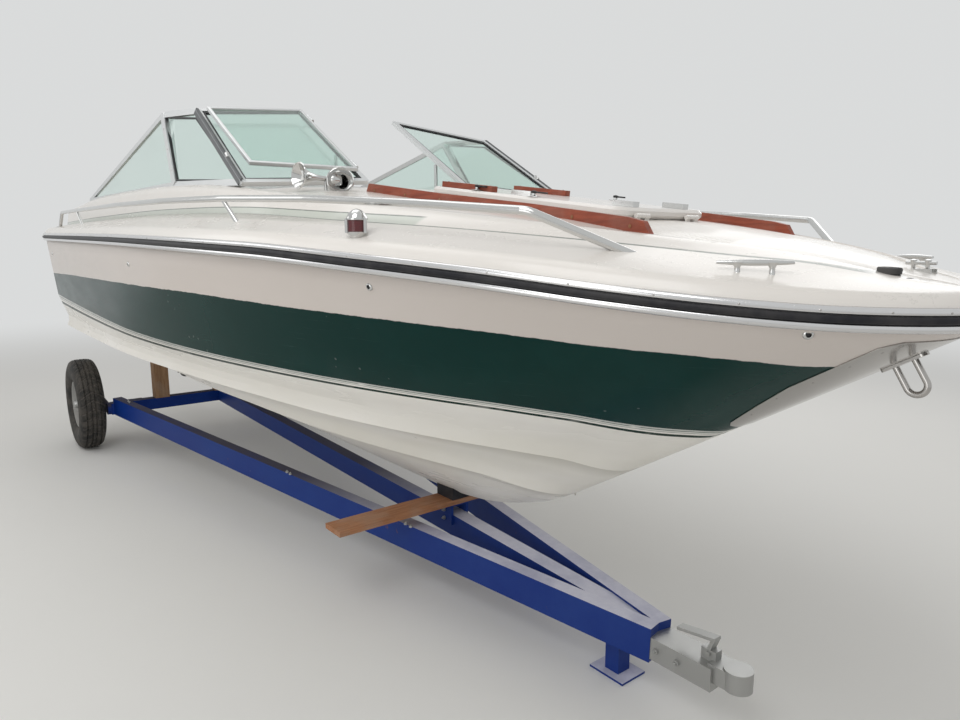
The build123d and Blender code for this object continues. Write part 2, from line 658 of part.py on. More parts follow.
def under_deck(x, y):
    """Height just under the deck moulding at a point."""
    return deck_height(x, y) - DECK_WALL - FIT


side_wall = [(COCKPIT_BACK_X, SOLE_Z), (-200, SOLE_Z), (PASSAGE_BACK_X, 965)]
side_wall += [(x, under_deck(x, COCKPIT_HALF)) for x in (PASSAGE_BACK_X, -200, -1300, COCKPIT_BACK_X)]
SOLE_EDGE = [(-2260, COCKPIT_HALF), (-200, COCKPIT_HALF), (300, COCKPIT_HALF - 36), (900, COCKPIT_HALF - 136)]
BERTH_EDGE = [(900, 840), (1500, 700), (1900, 540), (2150, 400)]
with BuildPart() as cockpit_liner:
    for side in (-1, 1):
        with BuildSketch(Plane(origin=(0, side * (COCKPIT_HALF + LINER_WALL / 2 + FIT), 0), x_dir=(1, 0, 0),
                               z_dir=(0, -1, 0))):
            with BuildLine():
                Polyline(*side_wall, close=True)
            make_face()
        extrude(amount=LINER_WALL / 2, both=True)
        low, high = sorted((side * PASSAGE_HALF, side * (PASSAGE_HALF - LINER_WALL)))
        with BuildSketch(Plane(origin=(0, low, 0), x_dir=(1, 0, 0), z_dir=(0, -1, 0))):
            with BuildLine():
                Polyline((PASSAGE_BACK_X, SOLE_Z - 6), (BULKHEAD_X, SOLE_Z - 6),
                         (BULKHEAD_X, under_deck(BULKHEAD_X, PASSAGE_HALF)),
                         (600, under_deck(600, PASSAGE_HALF)), (PASSAGE_BACK_X, under_deck(PASSAGE_BACK_X, PASSAGE_HALF)),
                         close=True)
            make_face()
        extrude(amount=low - high)
        with BuildSketch(Plane(origin=(PASSAGE_BACK_X, 0, 0), x_dir=(0, 1, 0), z_dir=(1, 0, 0))):
            with BuildLine():
                Polyline(*[(side * y, z) for y, z in (
                    (PASSAGE_HALF - LINER_WALL, SOLE_Z - 6), (740, SOLE_Z - 6), (COCKPIT_HALF + 6, 965),
                    (COCKPIT_HALF + 6, under_deck(PASSAGE_BACK_X, COCKPIT_HALF)),
                    (PASSAGE_HALF - LINER_WALL, under_deck(PASSAGE_BACK_X, PASSAGE_HALF)))], close=True)
            make_face()
        extrude(amount=LINER_WALL)
        inner, outer = sorted((side * (ENGINE_BOX_HALF - LINER_WALL), side * ENGINE_BOX_HALF))
        add(block((COCKPIT_BACK_X, inner, SOLE_Z - 6), (BENCH_FRONT_X, outer, BENCH_TOP_Z)))
        inner, outer = sorted((side * (ENGINE_BOX_HALF - LINER_WALL), side * (COCKPIT_HALF + 6)))
        add(block((COCKPIT_BACK_X, inner, BENCH_TOP_Z - LINER_WALL), (BENCH_FRONT_X, outer, BENCH_TOP_Z)))
        add(block((BENCH_FRONT_X - LINER_WALL, inner, SOLE_Z - 6), (BENCH_FRONT_X, outer, BENCH_TOP_Z)))
        inner, outer = sorted((side * 228, side * PASSAGE_HALF))
        add(block((BULKHEAD_X - 14, inner, SOLE_Z - 6), (BULKHEAD_X, outer, 1690)))
        inner, outer = sorted((side * 230, side * 242))
        add(block((BULKHEAD_X, inner, SOLE_Z - LINER_WALL), (1412, outer, BERTH_Z)))
    with BuildSketch(Plane.XY.offset(SOLE_Z - LINER_WALL)):
        with BuildLine():
            Polyline(*SOLE_EDGE, *[(x, -y) for x, y in reversed(SOLE_EDGE)], close=True)
        make_face()
    extrude(amount=LINER_WALL)
    add(block((BULKHEAD_X, -242, SOLE_Z - LINER_WALL), (1412, 242, SOLE_Z)))
    add(block((1400, -242, SOLE_Z - LINER_WALL), (1412, 242, BERTH_Z)))
    with BuildSketch(Plane.XY.offset(BERTH_Z - LINER_WALL)):
        with BuildLine():
            Polyline(*BERTH_EDGE, *[(x, -y) for x, y in reversed(BERTH_EDGE)], close=True)
        make_face()
        with Locations((BULKHEAD_X + 250, 0)):
            Rectangle(500, 460, mode=Mode.SUBTRACT)
    extrude(amount=LINER_WALL)
    add(block((BULKHEAD_X - 14, -PASSAGE_HALF, 1648), (BULKHEAD_X, PASSAGE_HALF, 1690)))
    add(block((COCKPIT_BACK_X - LINER_WALL, -COCKPIT_HALF - 6, SOLE_Z - LINER_WALL),
              (COCKPIT_BACK_X, COCKPIT_HALF + 6, under_deck(COCKPIT_BACK_X, COCKPIT_HALF))))
    add(block((BENCH_FRONT_X - LINER_WALL, -ENGINE_BOX_HALF, SOLE_Z - 6), (BENCH_FRONT_X, ENGINE_BOX_HALF, BENCH_TOP_Z)))
    add(block((-2245, -320, SOLE_Z - 60), (BENCH_FRONT_X - 30, 320, SOLE_Z + 60)), mode=Mode.SUBTRACT)
    add(hull_shell.part, mode=Mode.SUBTRACT)
    add(deck.part, mode=Mode.SUBTRACT)

# Soft furnishing: berths, bench cushions and two helm seats
CUSHION = 70
with BuildPart() as berth_cushions:
    for side in (-1, 1):
        with BuildSketch(Plane.XY.offset(BERTH_Z + FIT)):
            with BuildLine():
                Polyline(*[(x, side * y) for x, y in (
                    (915, 250), (915, 800), (1500, 670), (1900, 510), (2130, 370), (2130, 6), (1420, 6), (1420, 250))],
                    close=True)
            make_face()
        extrude(amount=CUSHION)
with BuildPart() as bench_cushions:
    for side in (-1, 1):
        inner, outer = sorted((side * (ENGINE_BOX_HALF + 10), side * (COCKPIT_HALF - 6)))
        add(block((COCKPIT_BACK_X + 8, inner, BENCH_TOP_Z + FIT), (BENCH_FRONT_X - 4, outer, BENCH_TOP_Z + CUSHION)))
SEAT_X = -260
SEAT_Y = 520
SEAT_HALF = 235
with BuildPart() as seat_bases:
    for side in (-1, 1):
        add(block((SEAT_X, side * SEAT_Y - SEAT_HALF, SOLE_Z + FIT), (SEAT_X + 440, side * SEAT_Y + SEAT_HALF, 1180)))
with BuildPart() as seat_cushions:
    for side in (-1, 1):
        y0, y1 = side * SEAT_Y - SEAT_HALF, side * SEAT_Y + SEAT_HALF
        add(block((SEAT_X, y0, 1180 + FIT), (SEAT_X + 440, y1, 1290)))
        add(bar((SEAT_X + 50, side * SEAT_Y, 1270), (SEAT_X - 50, side * SEAT_Y, 1660), 2 * SEAT_HALF, 90,
                Vector(0, 1, 0)))

# Companionway door: a leaf in the bulkhead, hinged on its port edge
CABIN_DOOR_AXIS = Vector(874, 226, 0)
cabin_leaves = []
for z in (1040, 1500):
    at = CABIN_DOOR_AXIS + Vector(0, 0, z)
    cabin_leaves.append(hinge_leaves(at, Vector(0, 0, 1), at + Vector(16, 10, 0), at + Vector(16, -12, 0)))
with BuildPart() as cabin_door:
    add(block((884, -221, SOLE_Z + 14), (900, 221, 1642)))
    for _, moving in cabin_leaves:
        add(moving)

# Engine cover over the engine box, with its pad, and the engine under it as one block
COVER_THICK = 24
COVER_AXIS = Vector(-2246, 0, 1290)
cover_leaves = []
for y in (-220, 220):
    at = COVER_AXIS + Vector(0, y, 0)
    cover_leaves.append(hinge_leaves(at, Vector(0, 1, 0), at - Vector(18, 0, 0), at + Vector(14, 0, -76)))
with BuildPart() as cockpit_liner_hung:
    add(cockpit_liner.part)
    for fixed, _ in cover_leaves + cabin_leaves:
        add(fixed)
with BuildPart() as engine_cover:
    for _, moving in cover_leaves:
        add(moving)
    add(block((-2238, -ENGINE_BOX_HALF + 6, BENCH_TOP_Z + 2), (BENCH_FRONT_X + 4, ENGINE_BOX_HALF - 6,
                                                            BENCH_TOP_Z + 2 + COVER_THICK)))
with BuildPart() as engine_cover_pad:
    add(block((-2228, -ENGINE_BOX_HALF + 14, BENCH_TOP_Z + 2 + COVER_THICK + FIT),
              (BENCH_FRONT_X - 4, ENGINE_BOX_HALF - 14, BENCH_TOP_Z + COVER_THICK + CUSHION)))
ENGINE_BOX = ((-2180, -230, 640), (-1620, 230, 1130))
with BuildPart() as engine_block:
    add(block(*ENGINE_BOX))
    for side in (-1, 1):
        inner, outer = sorted((side * 150, side * 220))
        add(block((-2180, inner, 480), (-1620, outer, 640)))
    add(hull_inside.part, mode=Mode.INTERSECT)

# Helm: steering wheel on a short column from the starboard dash
WHEEL_AT = Vector(345, -540, 1490)
WHEEL_AIM = Vector(-0.9, 0, 0.436).normalized()
WHEEL_RADIUS = 165
with BuildPart() as steering_column:
    add(rod(WHEEL_AT - WHEEL_AIM * 8, WHEEL_AT - WHEEL_AIM * 200, 22))
    add(rod(WHEEL_AT + WHEEL_AIM * 20, WHEEL_AT - WHEEL_AIM * 20, 9))
    add(cockpit_liner.part, mode=Mode.SUBTRACT)
with BuildPart() as column_trim:
    add(block((-400, -900, 800), (480 - FIT, 900, 1800)))
    add(steering_column.part, mode=Mode.INTERSECT)
with BuildPart() as steering_wheel:
    with Locations(Location(Plane(origin=WHEEL_AT + WHEEL_AIM * 24, z_dir=WHEEL_AIM))):
        Torus(WHEEL_RADIUS, 13)
    add(rod(WHEEL_AT, WHEEL_AT + WHEEL_AIM * 30, 34))
    for angle in (0, 120, 240):
        turn = Vector(0, 1, 0).rotate(Axis((0, 0, 0), WHEEL_AIM), angle)
        add(bar(WHEEL_AT + WHEEL_AIM * 14 + turn * 20, WHEEL_AT + WHEEL_AIM * 24 + turn * (WHEEL_RADIUS - 4), 26, 5,
                WHEEL_AIM.cross(turn)))
    add(rod(WHEEL_AT - WHEEL_AIM, WHEEL_AT + WHEEL_AIM * 22, 9 + PIN_PLAY), mode=Mode.SUBTRACT)

# Stern drive: a housing bolted to the transom, a steered yoke, a leg that tilts in it, and the propeller
TRANSOM_DOWN = Vector(TRANSOM_RAKE, 0, 432 - 1540).normalized()
TRANSOM_OUT = Vector(TRANSOM_DOWN.Z, 0, -TRANSOM_DOWN.X)
STEER_Z = 650
STEER_X = -2496.7
TILT_X = STEER_X - 80
ARM_Z = 145
ARM_THICK = 26
PIN = 13
DRIVE_TILT = 38.5
SHAFT_DROP = 430
BLADE_RADIUS = 165
transom_mid = Vector(TRANSOM_X + TRANSOM_RAKE * (1540 - STEER_Z) / 1108, 0, STEER_Z)
with BuildPart() as drive_housing:
    with BuildSketch(Plane(origin=transom_mid + TRANSOM_OUT * FIT, x_dir=(0, 1, 0), z_dir=TRANSOM_OUT)):
        RectangleRounded(300, 430, 60)
    extrude(amount=28)
    for side in (-1, 1):
        z = STEER_Z + side * ARM_Z
        add(block((STEER_X, -32, z - ARM_THICK / 2), (transom_mid.X - 10, 32, z + ARM_THICK / 2)))
        add(rod((STEER_X, 0, z - ARM_THICK / 2), (STEER_X, 0, z + ARM_THICK / 2), 32))
    add(hull_shell.part, mode=Mode.SUBTRACT)
    add(rod((STEER_X, 0, STEER_Z - 200), (STEER_X, 0, STEER_Z + 200), PIN + PIN_PLAY), mode=Mode.SUBTRACT)
with BuildPart() as drive_yoke:
    add(rod((STEER_X, 0, STEER_Z - ARM_Z + ARM_THICK / 2 + 1), (STEER_X, 0, STEER_Z + ARM_Z - ARM_THICK / 2 - 1), 30))
    add(rod((STEER_X, 0, STEER_Z - ARM_Z - ARM_THICK / 2), (STEER_X, 0, STEER_Z + ARM_Z + ARM_THICK / 2), PIN))
    for side in (-1, 1):
        inner, outer = sorted((side * 76, side * 94))
        add(block((TILT_X, inner, STEER_Z - 40), (STEER_X + 20, outer, STEER_Z + 40)))
        add(rod((TILT_X, inner, STEER_Z), (TILT_X, outer, STEER_Z), 40))
    add(block((STEER_X - 15, -90, STEER_Z - 40), (STEER_X + 20, 90, STEER_Z + 40)))
    add(rod((TILT_X, -130, STEER_Z), (TILT_X, 130, STEER_Z), PIN + PIN_PLAY), mode=Mode.SUBTRACT)
with BuildPart() as leg_upright:
    add(rod((TILT_X, -70, STEER_Z), (TILT_X, 70, STEER_Z), 40))
    add(rod((TILT_X, -94, STEER_Z), (TILT_X, 94, STEER_Z), PIN))
    add(block((TILT_X - 90, -60, STEER_Z - 46), (TILT_X, 60, STEER_Z + 46)))
    add(block((TILT_X - 240, -72, STEER_Z - 120), (TILT_X - 62, 72, STEER_Z + 96)))
    with BuildSketch(Plane.XY.offset(STEER_Z - 120)):
        with Locations((TILT_X - 160, 0)):
            RectangleRounded(150, 84, 30)
    with BuildSketch(Plane.XY.offset(STEER_Z - SHAFT_DROP)):
        with Locations((TILT_X - 190, 0)):
            RectangleRounded(130, 44, 18)
    loft()
    add(block((TILT_X - 350, -100, STEER_Z - 244), (TILT_X - 70, 100, STEER_Z - 234)))
    add(rod((TILT_X - 60, 0, STEER_Z - SHAFT_DROP), (TILT_X - 300, 0, STEER_Z - SHAFT_DROP), 44))
    with Locations((TILT_X - 60, 0, STEER_Z - SHAFT_DROP)):
        Sphere(44)
    with BuildSketch(Plane.XZ.offset(-7)):
        with BuildLine():
            Polyline((TILT_X - 120, STEER_Z - SHAFT_DROP - 20), (TILT_X - 290, STEER_Z - SHAFT_DROP - 20),
                     (TILT_X - 260, STEER_Z - SHAFT_DROP - 165), (TILT_X - 200, STEER_Z - SHAFT_DROP - 165), close=True)
        make_face()
    extrude(amount=14)
    add(rod((TILT_X - 290, 0, STEER_Z - SHAFT_DROP), (TILT_X - 396, 0, STEER_Z - SHAFT_DROP), PIN))
with BuildPart() as propeller_upright:
    shaft_z = STEER_Z - SHAFT_DROP
    add(rod((TILT_X - 306, 0, shaft_z), (TILT_X - 400, 0, shaft_z), 36))
    for angle in (90, 210, 330):
        radial = Vector(0, cos(radians(angle)), sin(radians(angle)))
        tangent = Vector(1, 0, 0).cross(radial)
        chord = Vector(1, 0, 0) * 0.62 + tangent * 0.78
        with BuildSketch(Plane(origin=Vector(TILT_X - 353, 0, shaft_z), x_dir=radial, z_dir=radial.cross(chord))):
            with Locations((BLADE_RADIUS * 0.56, 0)):
                Ellipse(BLADE_RADIUS * 0.44, 50)
        extrude(amount=3, both=True)
    add(rod((TILT_X - 200, 0, shaft_z), (TILT_X - 500, 0, shaft_z), PIN + PIN_PLAY), mode=Mode.SUBTRACT)
tilt_axis = Axis((TILT_X, 0, STEER_Z), (0, 1, 0))
with BuildPart() as drive_leg:
    add(leg_upright.part.rotate(tilt_axis, DRIVE_TILT))
with BuildPart() as propeller:
    add(propeller_upright.part.rotate(tilt_axis, DRIVE_TILT))

# Trailer frame: two rails drawn together at the nose, a middle beam, and the rear cross tube
RAIL_FORE = (2330, 24, 196)
RAIL_AFT = (-1900, 757, 330)
SPINE_FORE = (NOSE_X, 0, 196)
SPINE_MID = (1180, 0, 246)
SPINE_AFT = (-1900, 0, 318)
CROSS_X = -1925
CROSS_HALF = 800
with BuildPart() as trailer_frame:
    for side in (-1, 1):
        add(bar(mirrored(RAIL_FORE, side), mirrored(RAIL_AFT, side), BEAM_BROAD, BEAM_TALL, Vector(0, 1, 0)))
    add(bar(SPINE_FORE, SPINE_MID, 70, 100, Vector(0, 1, 0)))
    add(bar(SPINE_MID, SPINE_AFT, 70, 100, Vector(0, 1, 0)))
    add(block((1160, -35, 200), (1200, 35, 290)))
    add(block((CROSS_X - 40, -CROSS_HALF, 270), (CROSS_X + 40, CROSS_HALF, 350)))
with BuildPart() as axle_arms:
    for side in (-1, 1):
        inner, outer = sorted((side * (CROSS_HALF + FIT), side * (CROSS_HALF + 24)))
        add(rod((CROSS_X, inner, 310), (CROSS_X, outer, 310), 42))
        add(rod((AXLE_X, inner, TYRE_DIAMETER / 2), (AXLE_X, outer, TYRE_DIAMETER / 2), 36))
        add(bar((CROSS_X, (inner + outer) / 2, 310), (AXLE_X, (inner + outer) / 2, TYRE_DIAMETER / 2), outer - inner, 66,
                Vector(0, 1, 0)))
        add(rod((AXLE_X, side * (CROSS_HALF + 10), TYRE_DIAMETER / 2), (AXLE_X, side * 960, TYRE_DIAMETER / 2), 15))

# Wheels: a rim on each stub axle with a tyre on it
RIM_RADIUS = 178
WHEEL_Y = TRACK / 2
HUB_PLAY = 0.1
rims = {}
tyres = {}
for side, name in ((-1, "starboard"), (1, "port")):
    with BuildPart() as rim:
        with BuildSketch(Plane.XY):
            with BuildLine():
                Polyline((15 + HUB_PLAY, -52), (48, -52), (48, 8), (120, 18), (150, 4), (164, -66), (RIM_RADIUS, -66),
                         (RIM_RADIUS - 8, 60), (160, 60), (158, 24), (120, 30), (40, 20), (40, 50), (15 + HUB_PLAY, 50),
                         close=True)
            make_face()
        revolve(axis=Axis.Y)
    with BuildPart() as tyre:
        with BuildSketch(Plane.XY):
            with BuildLine():
                half = TYRE_WIDTH / 2
                outer = TYRE_DIAMETER / 2
                Polyline((RIM_RADIUS + FIT, -66), (RIM_RADIUS + 30, -half), (outer - 40, -half + 2), (outer - 10, -half + 22),
                         (outer, -half + 44), (outer, half - 44), (outer - 10, half - 22), (outer - 40, half - 2),
                         (RIM_RADIUS + 30, half), (RIM_RADIUS + FIT, 62), close=True)
            make_face()
        revolve(axis=Axis.Y)
    place = Location((AXLE_X, side * WHEEL_Y, TYRE_DIAMETER / 2), (0, 0, 0 if side > 0 else 180))
    with BuildPart() as rims[name]:
        add(rim.part.moved(place))
    with BuildPart() as tyres[name]:
        add(tyre.part.moved(place))

# Keel bracket with its plank, rear chocks, jack leg, coupling
BRACKET_X = 1180
with BuildPart() as keel_bracket:
    for side in (-1, 1):
        inner, outer = sorted((side * 35.3, side * 47))
        add(block((BRACKET_X - 50, inner, 250), (BRACKET_X + 50, outer, 345)))
    add(block((BRACKET_X - 50, -47, 333), (BRACKET_X + 50, 47, 345)))
    add(trailer_frame.part, mode=Mode.SUBTRACT)
with BuildPart() as plank:
    add(block((BRACKET_X - 62, -600, 345 + FIT), (BRACKET_X + 62, 190, 367)))
with BuildPart() as keel_pad:
    add(block((BRACKET_X - 60, -45, 367 + FIT), (BRACKET_X + 60, 45, 420)))
    add(hull_outside.part, mode=Mode.SUBTRACT)
with BuildPart() as rear_chocks:
    for side in (-1, 1):
        inner, outer = sorted((side * 400, side * 500))
        add(block((CROSS_X - 45, inner, 350 + FIT), (CROSS_X + 45, outer, 700)))
    add(block((CROSS_X - 40, -60, 350 + FIT), (CROSS_X + 40, 60, 480)))
    add(hull_outside.part, mode=Mode.SUBTRACT)
    add(trailer_frame.part, mode=Mode.SUBTRACT)
JACK_X = 2158
with BuildPart() as jack_leg:
    add(block((JACK_X - 30, -30, 8), (JACK_X + 30, 30, 300)))
    add(block((JACK_X - 75, -60, 0), (JACK_X + 75, 60, 8)))
    add(trailer_frame.part, mode=Mode.SUBTRACT)
with BuildPart() as jack_below:
    add(block((JACK_X - 100, -100, 0), (JACK_X + 100, 100, 150)))
    add(jack_leg.part, mode=Mode.INTERSECT)
BALL_RADIUS = 25
BALL_AT = (2620, 0, 200)
with BuildPart() as coupling:
    add(block((2300, -52, 150), (2560, 52, 226)))
    add(rod((BALL_AT[0], 0, 176), (BALL_AT[0], 0, 240), 44))
    add(block((2540, -40, 176), (BALL_AT[0], 40, 234)))
    add(block((2500, -16, 220), (2552, 16, 262)))
    with Locations(BALL_AT):
        Sphere(BALL_RADIUS + 1, mode=Mode.SUBTRACT)
    add(rod((BALL_AT[0], 0, 100), (BALL_AT[0], 0, BALL_AT[2]), BALL_RADIUS + 1), mode=Mode.SUBTRACT)
    add(trailer_frame.part, mode=Mode.SUBTRACT)
with BuildPart() as coupling_lever:
    add(rod((2526, -24, 250), (2526, 24, 250), 8))
    add(bar((2526, 0, 262 + FIT), (2540, 0, 300), 34, 12, Vector(0, 1, 0)))
    add(bar((2545, 0, 300), (2409, 0, 281), 34, 10, Vector(0, 1, 0)))
    add(coupling.part, mode=Mode.SUBTRACT)

PIECES = {
    "hull_shell": hull_shell, "deck": deck, "cockpit_liner": cockpit_liner_hung, "rub_rail": rub_rail,
    "rub_rail_insert": rub_rail_insert, "stem_guard": stem_guard, "bow_eye": bow_eye,
    "windscreen_frame_starboard": screen_frame_starboard, "windscreen_frame_port": screen_frames["port"],
    "windscreen_glass_starboard": screen_glass["starboard"], "windscreen_glass_port": screen_glass["port"],
    "windscreen_door_frame": windscreen_door_frame, "windscreen_door_glass": windscreen_door_glass,
    "windscreen_struts": windscreen_struts, "hand_rail_starboard": rails["starboard"], "hand_rail_port": rails["port"],
    "teak_boards": teak_boards, "hatch_coaming": hatch_coaming, "cabin_hatch": cabin_hatch,
    "hatch_strips": hatch_strips, "hatch_fittings": hatch_fittings, "deck_cleats": deck_cleats,
    "deck_vent": deck_vent, "bow_fitting": bow_fitting, "side_lights": side_lights,
    "side_light_lenses": side_light_lenses, "horns": horns, "berth_cushions": berth_cushions,
    "bench_cushions": bench_cushions, "seat_bases": seat_bases, "seat_cushions": seat_cushions,
    "engine_cover": engine_cover, "engine_cover_pad": engine_cover_pad, "engine_block": engine_block,
    "cabin_door": cabin_door, "steering_column": column_trim, "steering_wheel": steering_wheel,
    "drive_housing": drive_housing, "drive_yoke": drive_yoke, "drive_leg": drive_leg, "propeller": propeller,
    "trailer_frame": trailer_frame, "axle_arms": axle_arms, "rim_starboard": rims["starboard"], "rim_port": rims["port"],
    "tyre_starboard": tyres["starboard"], "tyre_port": tyres["port"], "keel_bracket": keel_bracket, "plank": plank,
    "keel_pad": keel_pad, "rear_chocks": rear_chocks, "jack_leg": jack_below, "coupling": coupling,
    "coupling_lever": coupling_lever,
}
for name, piece in PIECES.items():
    piece.part.label = name
    export_step(piece.part, f"parts/{name}.step")
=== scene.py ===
"""Dressing of a small walk-through cruiser on its road trailer.

X runs to the bow, Y to port and Z up, in metres. The origin is on the floor under the middle of the length.
"""

import logging
from collections.abc import Callable, Iterable, Sequence
from dataclasses import dataclass
from enum import Enum
from itertools import product
from math import cos, exp, pi, radians, sin, sqrt
from typing import Any

import bmesh
import bpy
from bpy.types import ID, Material, Node, NodeSocket, NodeTree, Object
from mathutils import Matrix, Vector
from mathutils.bvhtree import BVHTree

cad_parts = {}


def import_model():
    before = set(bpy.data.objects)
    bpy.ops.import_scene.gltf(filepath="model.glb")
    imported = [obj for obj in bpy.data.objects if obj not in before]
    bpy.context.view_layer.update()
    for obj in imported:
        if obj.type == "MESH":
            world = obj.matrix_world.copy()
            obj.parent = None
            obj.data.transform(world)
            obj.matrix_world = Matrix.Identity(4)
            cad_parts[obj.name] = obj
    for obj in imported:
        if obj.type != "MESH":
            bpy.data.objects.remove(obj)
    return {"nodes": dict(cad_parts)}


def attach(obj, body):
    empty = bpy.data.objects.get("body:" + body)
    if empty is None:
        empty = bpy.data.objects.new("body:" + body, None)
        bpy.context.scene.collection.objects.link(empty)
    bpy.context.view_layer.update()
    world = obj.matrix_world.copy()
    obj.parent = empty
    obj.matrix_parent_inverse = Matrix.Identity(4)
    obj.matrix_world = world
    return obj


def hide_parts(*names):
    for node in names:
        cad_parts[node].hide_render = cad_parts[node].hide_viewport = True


LOG = logging.getLogger("cruiser")
Triple = tuple[float, float, float]
Colour = Triple
Pair = tuple[float, float]
Table = tuple[Pair, ...]
Ring = list[Vector]
UP = Vector((0, 0, 1))


class Body(Enum):
    """The bodies of the object that pieces ride on."""

    BOAT = "boat_and_trailer"
    SCREEN_DOOR = "windscreen_door"
    HATCH = "foredeck_hatch"
    CABIN_DOOR = "companionway_door"
    ENGINE_LID = "engine_lid"
    HELM = "helm_wheel"
    WHEEL_STARBOARD = "wheel_starboard"
    WHEEL_PORT = "wheel_port"


class Side(Enum):
    """The two sides of the boat, with the sign of y on each."""

    STARBOARD = -1
    PORT = 1

    def at(self, x: float, y: float, z: float) -> Vector:
        """The point or direction on this side, from its values on the port side."""
        return Vector((x, self.value * y, z))


# Shader maths


class Field:
    """A number that varies over a surface, with the sums that Math nodes do."""

    def __init__(self, paint: "Paint", socket: NodeSocket) -> None:
        """Wraps the socket that carries the number.

        Args:
            paint: the material being mixed.
            socket: an output socket of one of its nodes.
        """
        self.paint = paint
        self.socket = socket

    def sine(self) -> "Field":
        """Sine of this number."""
        return self.maths("SINE", self)

    def maths(self, operation: str, *parts: "Field | float") -> "Field":
        """Adds one Math node.

        Args:
            operation: name of the node's operation.
            parts: its numbers, in order.

        Returns:
            The result as a new number.
        """
        node = self.paint.node("ShaderNodeMath", {"operation": operation}, dict(enumerate(parts)))
        return Field(self.paint, node.outputs[0])

    def __add__(self, other: "Field | float") -> "Field":
        """This number plus another."""
        return self.maths("ADD", self, other)

    __radd__ = __add__

    def __sub__(self, other: "Field | float") -> "Field":
        """This number less another."""
        return self.maths("SUBTRACT", self, other)

    def __rsub__(self, other: "Field | float") -> "Field":
        """Another number less this one."""
        return self.maths("SUBTRACT", other, self)

    def __mul__(self, other: "Field | float") -> "Field":
        """This number times another."""
        return self.maths("MULTIPLY", self, other)

    __rmul__ = __mul__

    def __truediv__(self, other: "Field | float") -> "Field":
        """This number over another."""
        return self.maths("DIVIDE", self, other)

    def __pow__(self, other: float) -> "Field":
        """This number to a power."""
        return self.maths("POWER", self, other)

    def __abs__(self) -> "Field":
        """This number without its sign."""
        return self.maths("ABSOLUTE", self)

    def above(self, edge: float, soft: float = 0.001) -> "Field":
        """Mask that is 1 where the number is over an edge.

        Args:
            edge: the number at the middle of the change.
            soft: half the width of the change.

        Returns:
            The mask, from 0 to 1.
        """
        ends = {"Value": self, "From Min": edge - soft, "From Max": edge + soft}
        node = self.paint.node("ShaderNodeMapRange", {"interpolation_type": "SMOOTHSTEP"}, ends)
        return Field(self.paint, node.outputs[0])

    def below(self, edge: float, soft: float = 0.001) -> "Field":
        """Mask that is 1 where the number is under an edge."""
        return 1 - self.above(edge, soft)

    def within(self, low: float, high: float, soft: float = 0.001) -> "Field":
        """Mask that is 1 between two edges."""
        return self.above(low, soft) * self.below(high, soft)


class Tint:
    """A colour that varies over a surface; colours are laid over it through Mix nodes."""

    def __init__(self, paint: "Paint", source: "Colour | NodeSocket") -> None:
        """Wraps a colour.

        Args:
            paint: the material being mixed.
            source: a plain colour, or the socket that carries one.
        """
        self.paint = paint
        self.source = source

    def under(self, colour: "Colour | Tint", mask: "Field | float") -> "Tint":
        """Lays another colour over this one.

        Args:
            colour: the colour on top.
            mask: where it shows, from 0 to 1.

        Returns:
            The mixed colour.
        """
        node = self.paint.node("ShaderNodeMix", {"data_type": "RGBA"}, {0: mask, 6: self.source, 7: colour})
        return Tint(self.paint, node.outputs[2])


class Nodes:
    """A tree of nodes, with one way to add each."""

    def __init__(self, tree: NodeTree) -> None:
        """Keeps the tree."""
        self.tree = tree

    def feed(self, socket: NodeSocket, value: Any) -> None:
        """Sets a socket's value, or links what varies to it.

        Args:
            socket: the input.
            value: a number, a colour, a vector, a socket, a Field or a Tint.
        """
        if isinstance(value, Field):
            value = value.socket
        if isinstance(value, Tint):
            value = value.source
        if isinstance(value, NodeSocket):
            self.tree.links.new(value, socket)
        elif isinstance(value, tuple) and socket.type == "RGBA":
            socket.default_value = (*value, 1.0)
        else:
            socket.default_value = value

    def node(self, kind: str, settings: dict[str, Any] | None = None,
             sockets: dict[str | int, Any] | None = None) -> Node:
        """Adds one node.

        Args:
            kind: the node's type.
            settings: its own settings, set first.
            sockets: values or links of its inputs, by name or number.

        Returns:
            The node.
        """
        made = self.tree.nodes.new(kind)
        for label, value in (settings or {}).items():
            setattr(made, label, value)
        for key, value in (sockets or {}).items():
            self.feed(made.inputs[key], value)
        return made


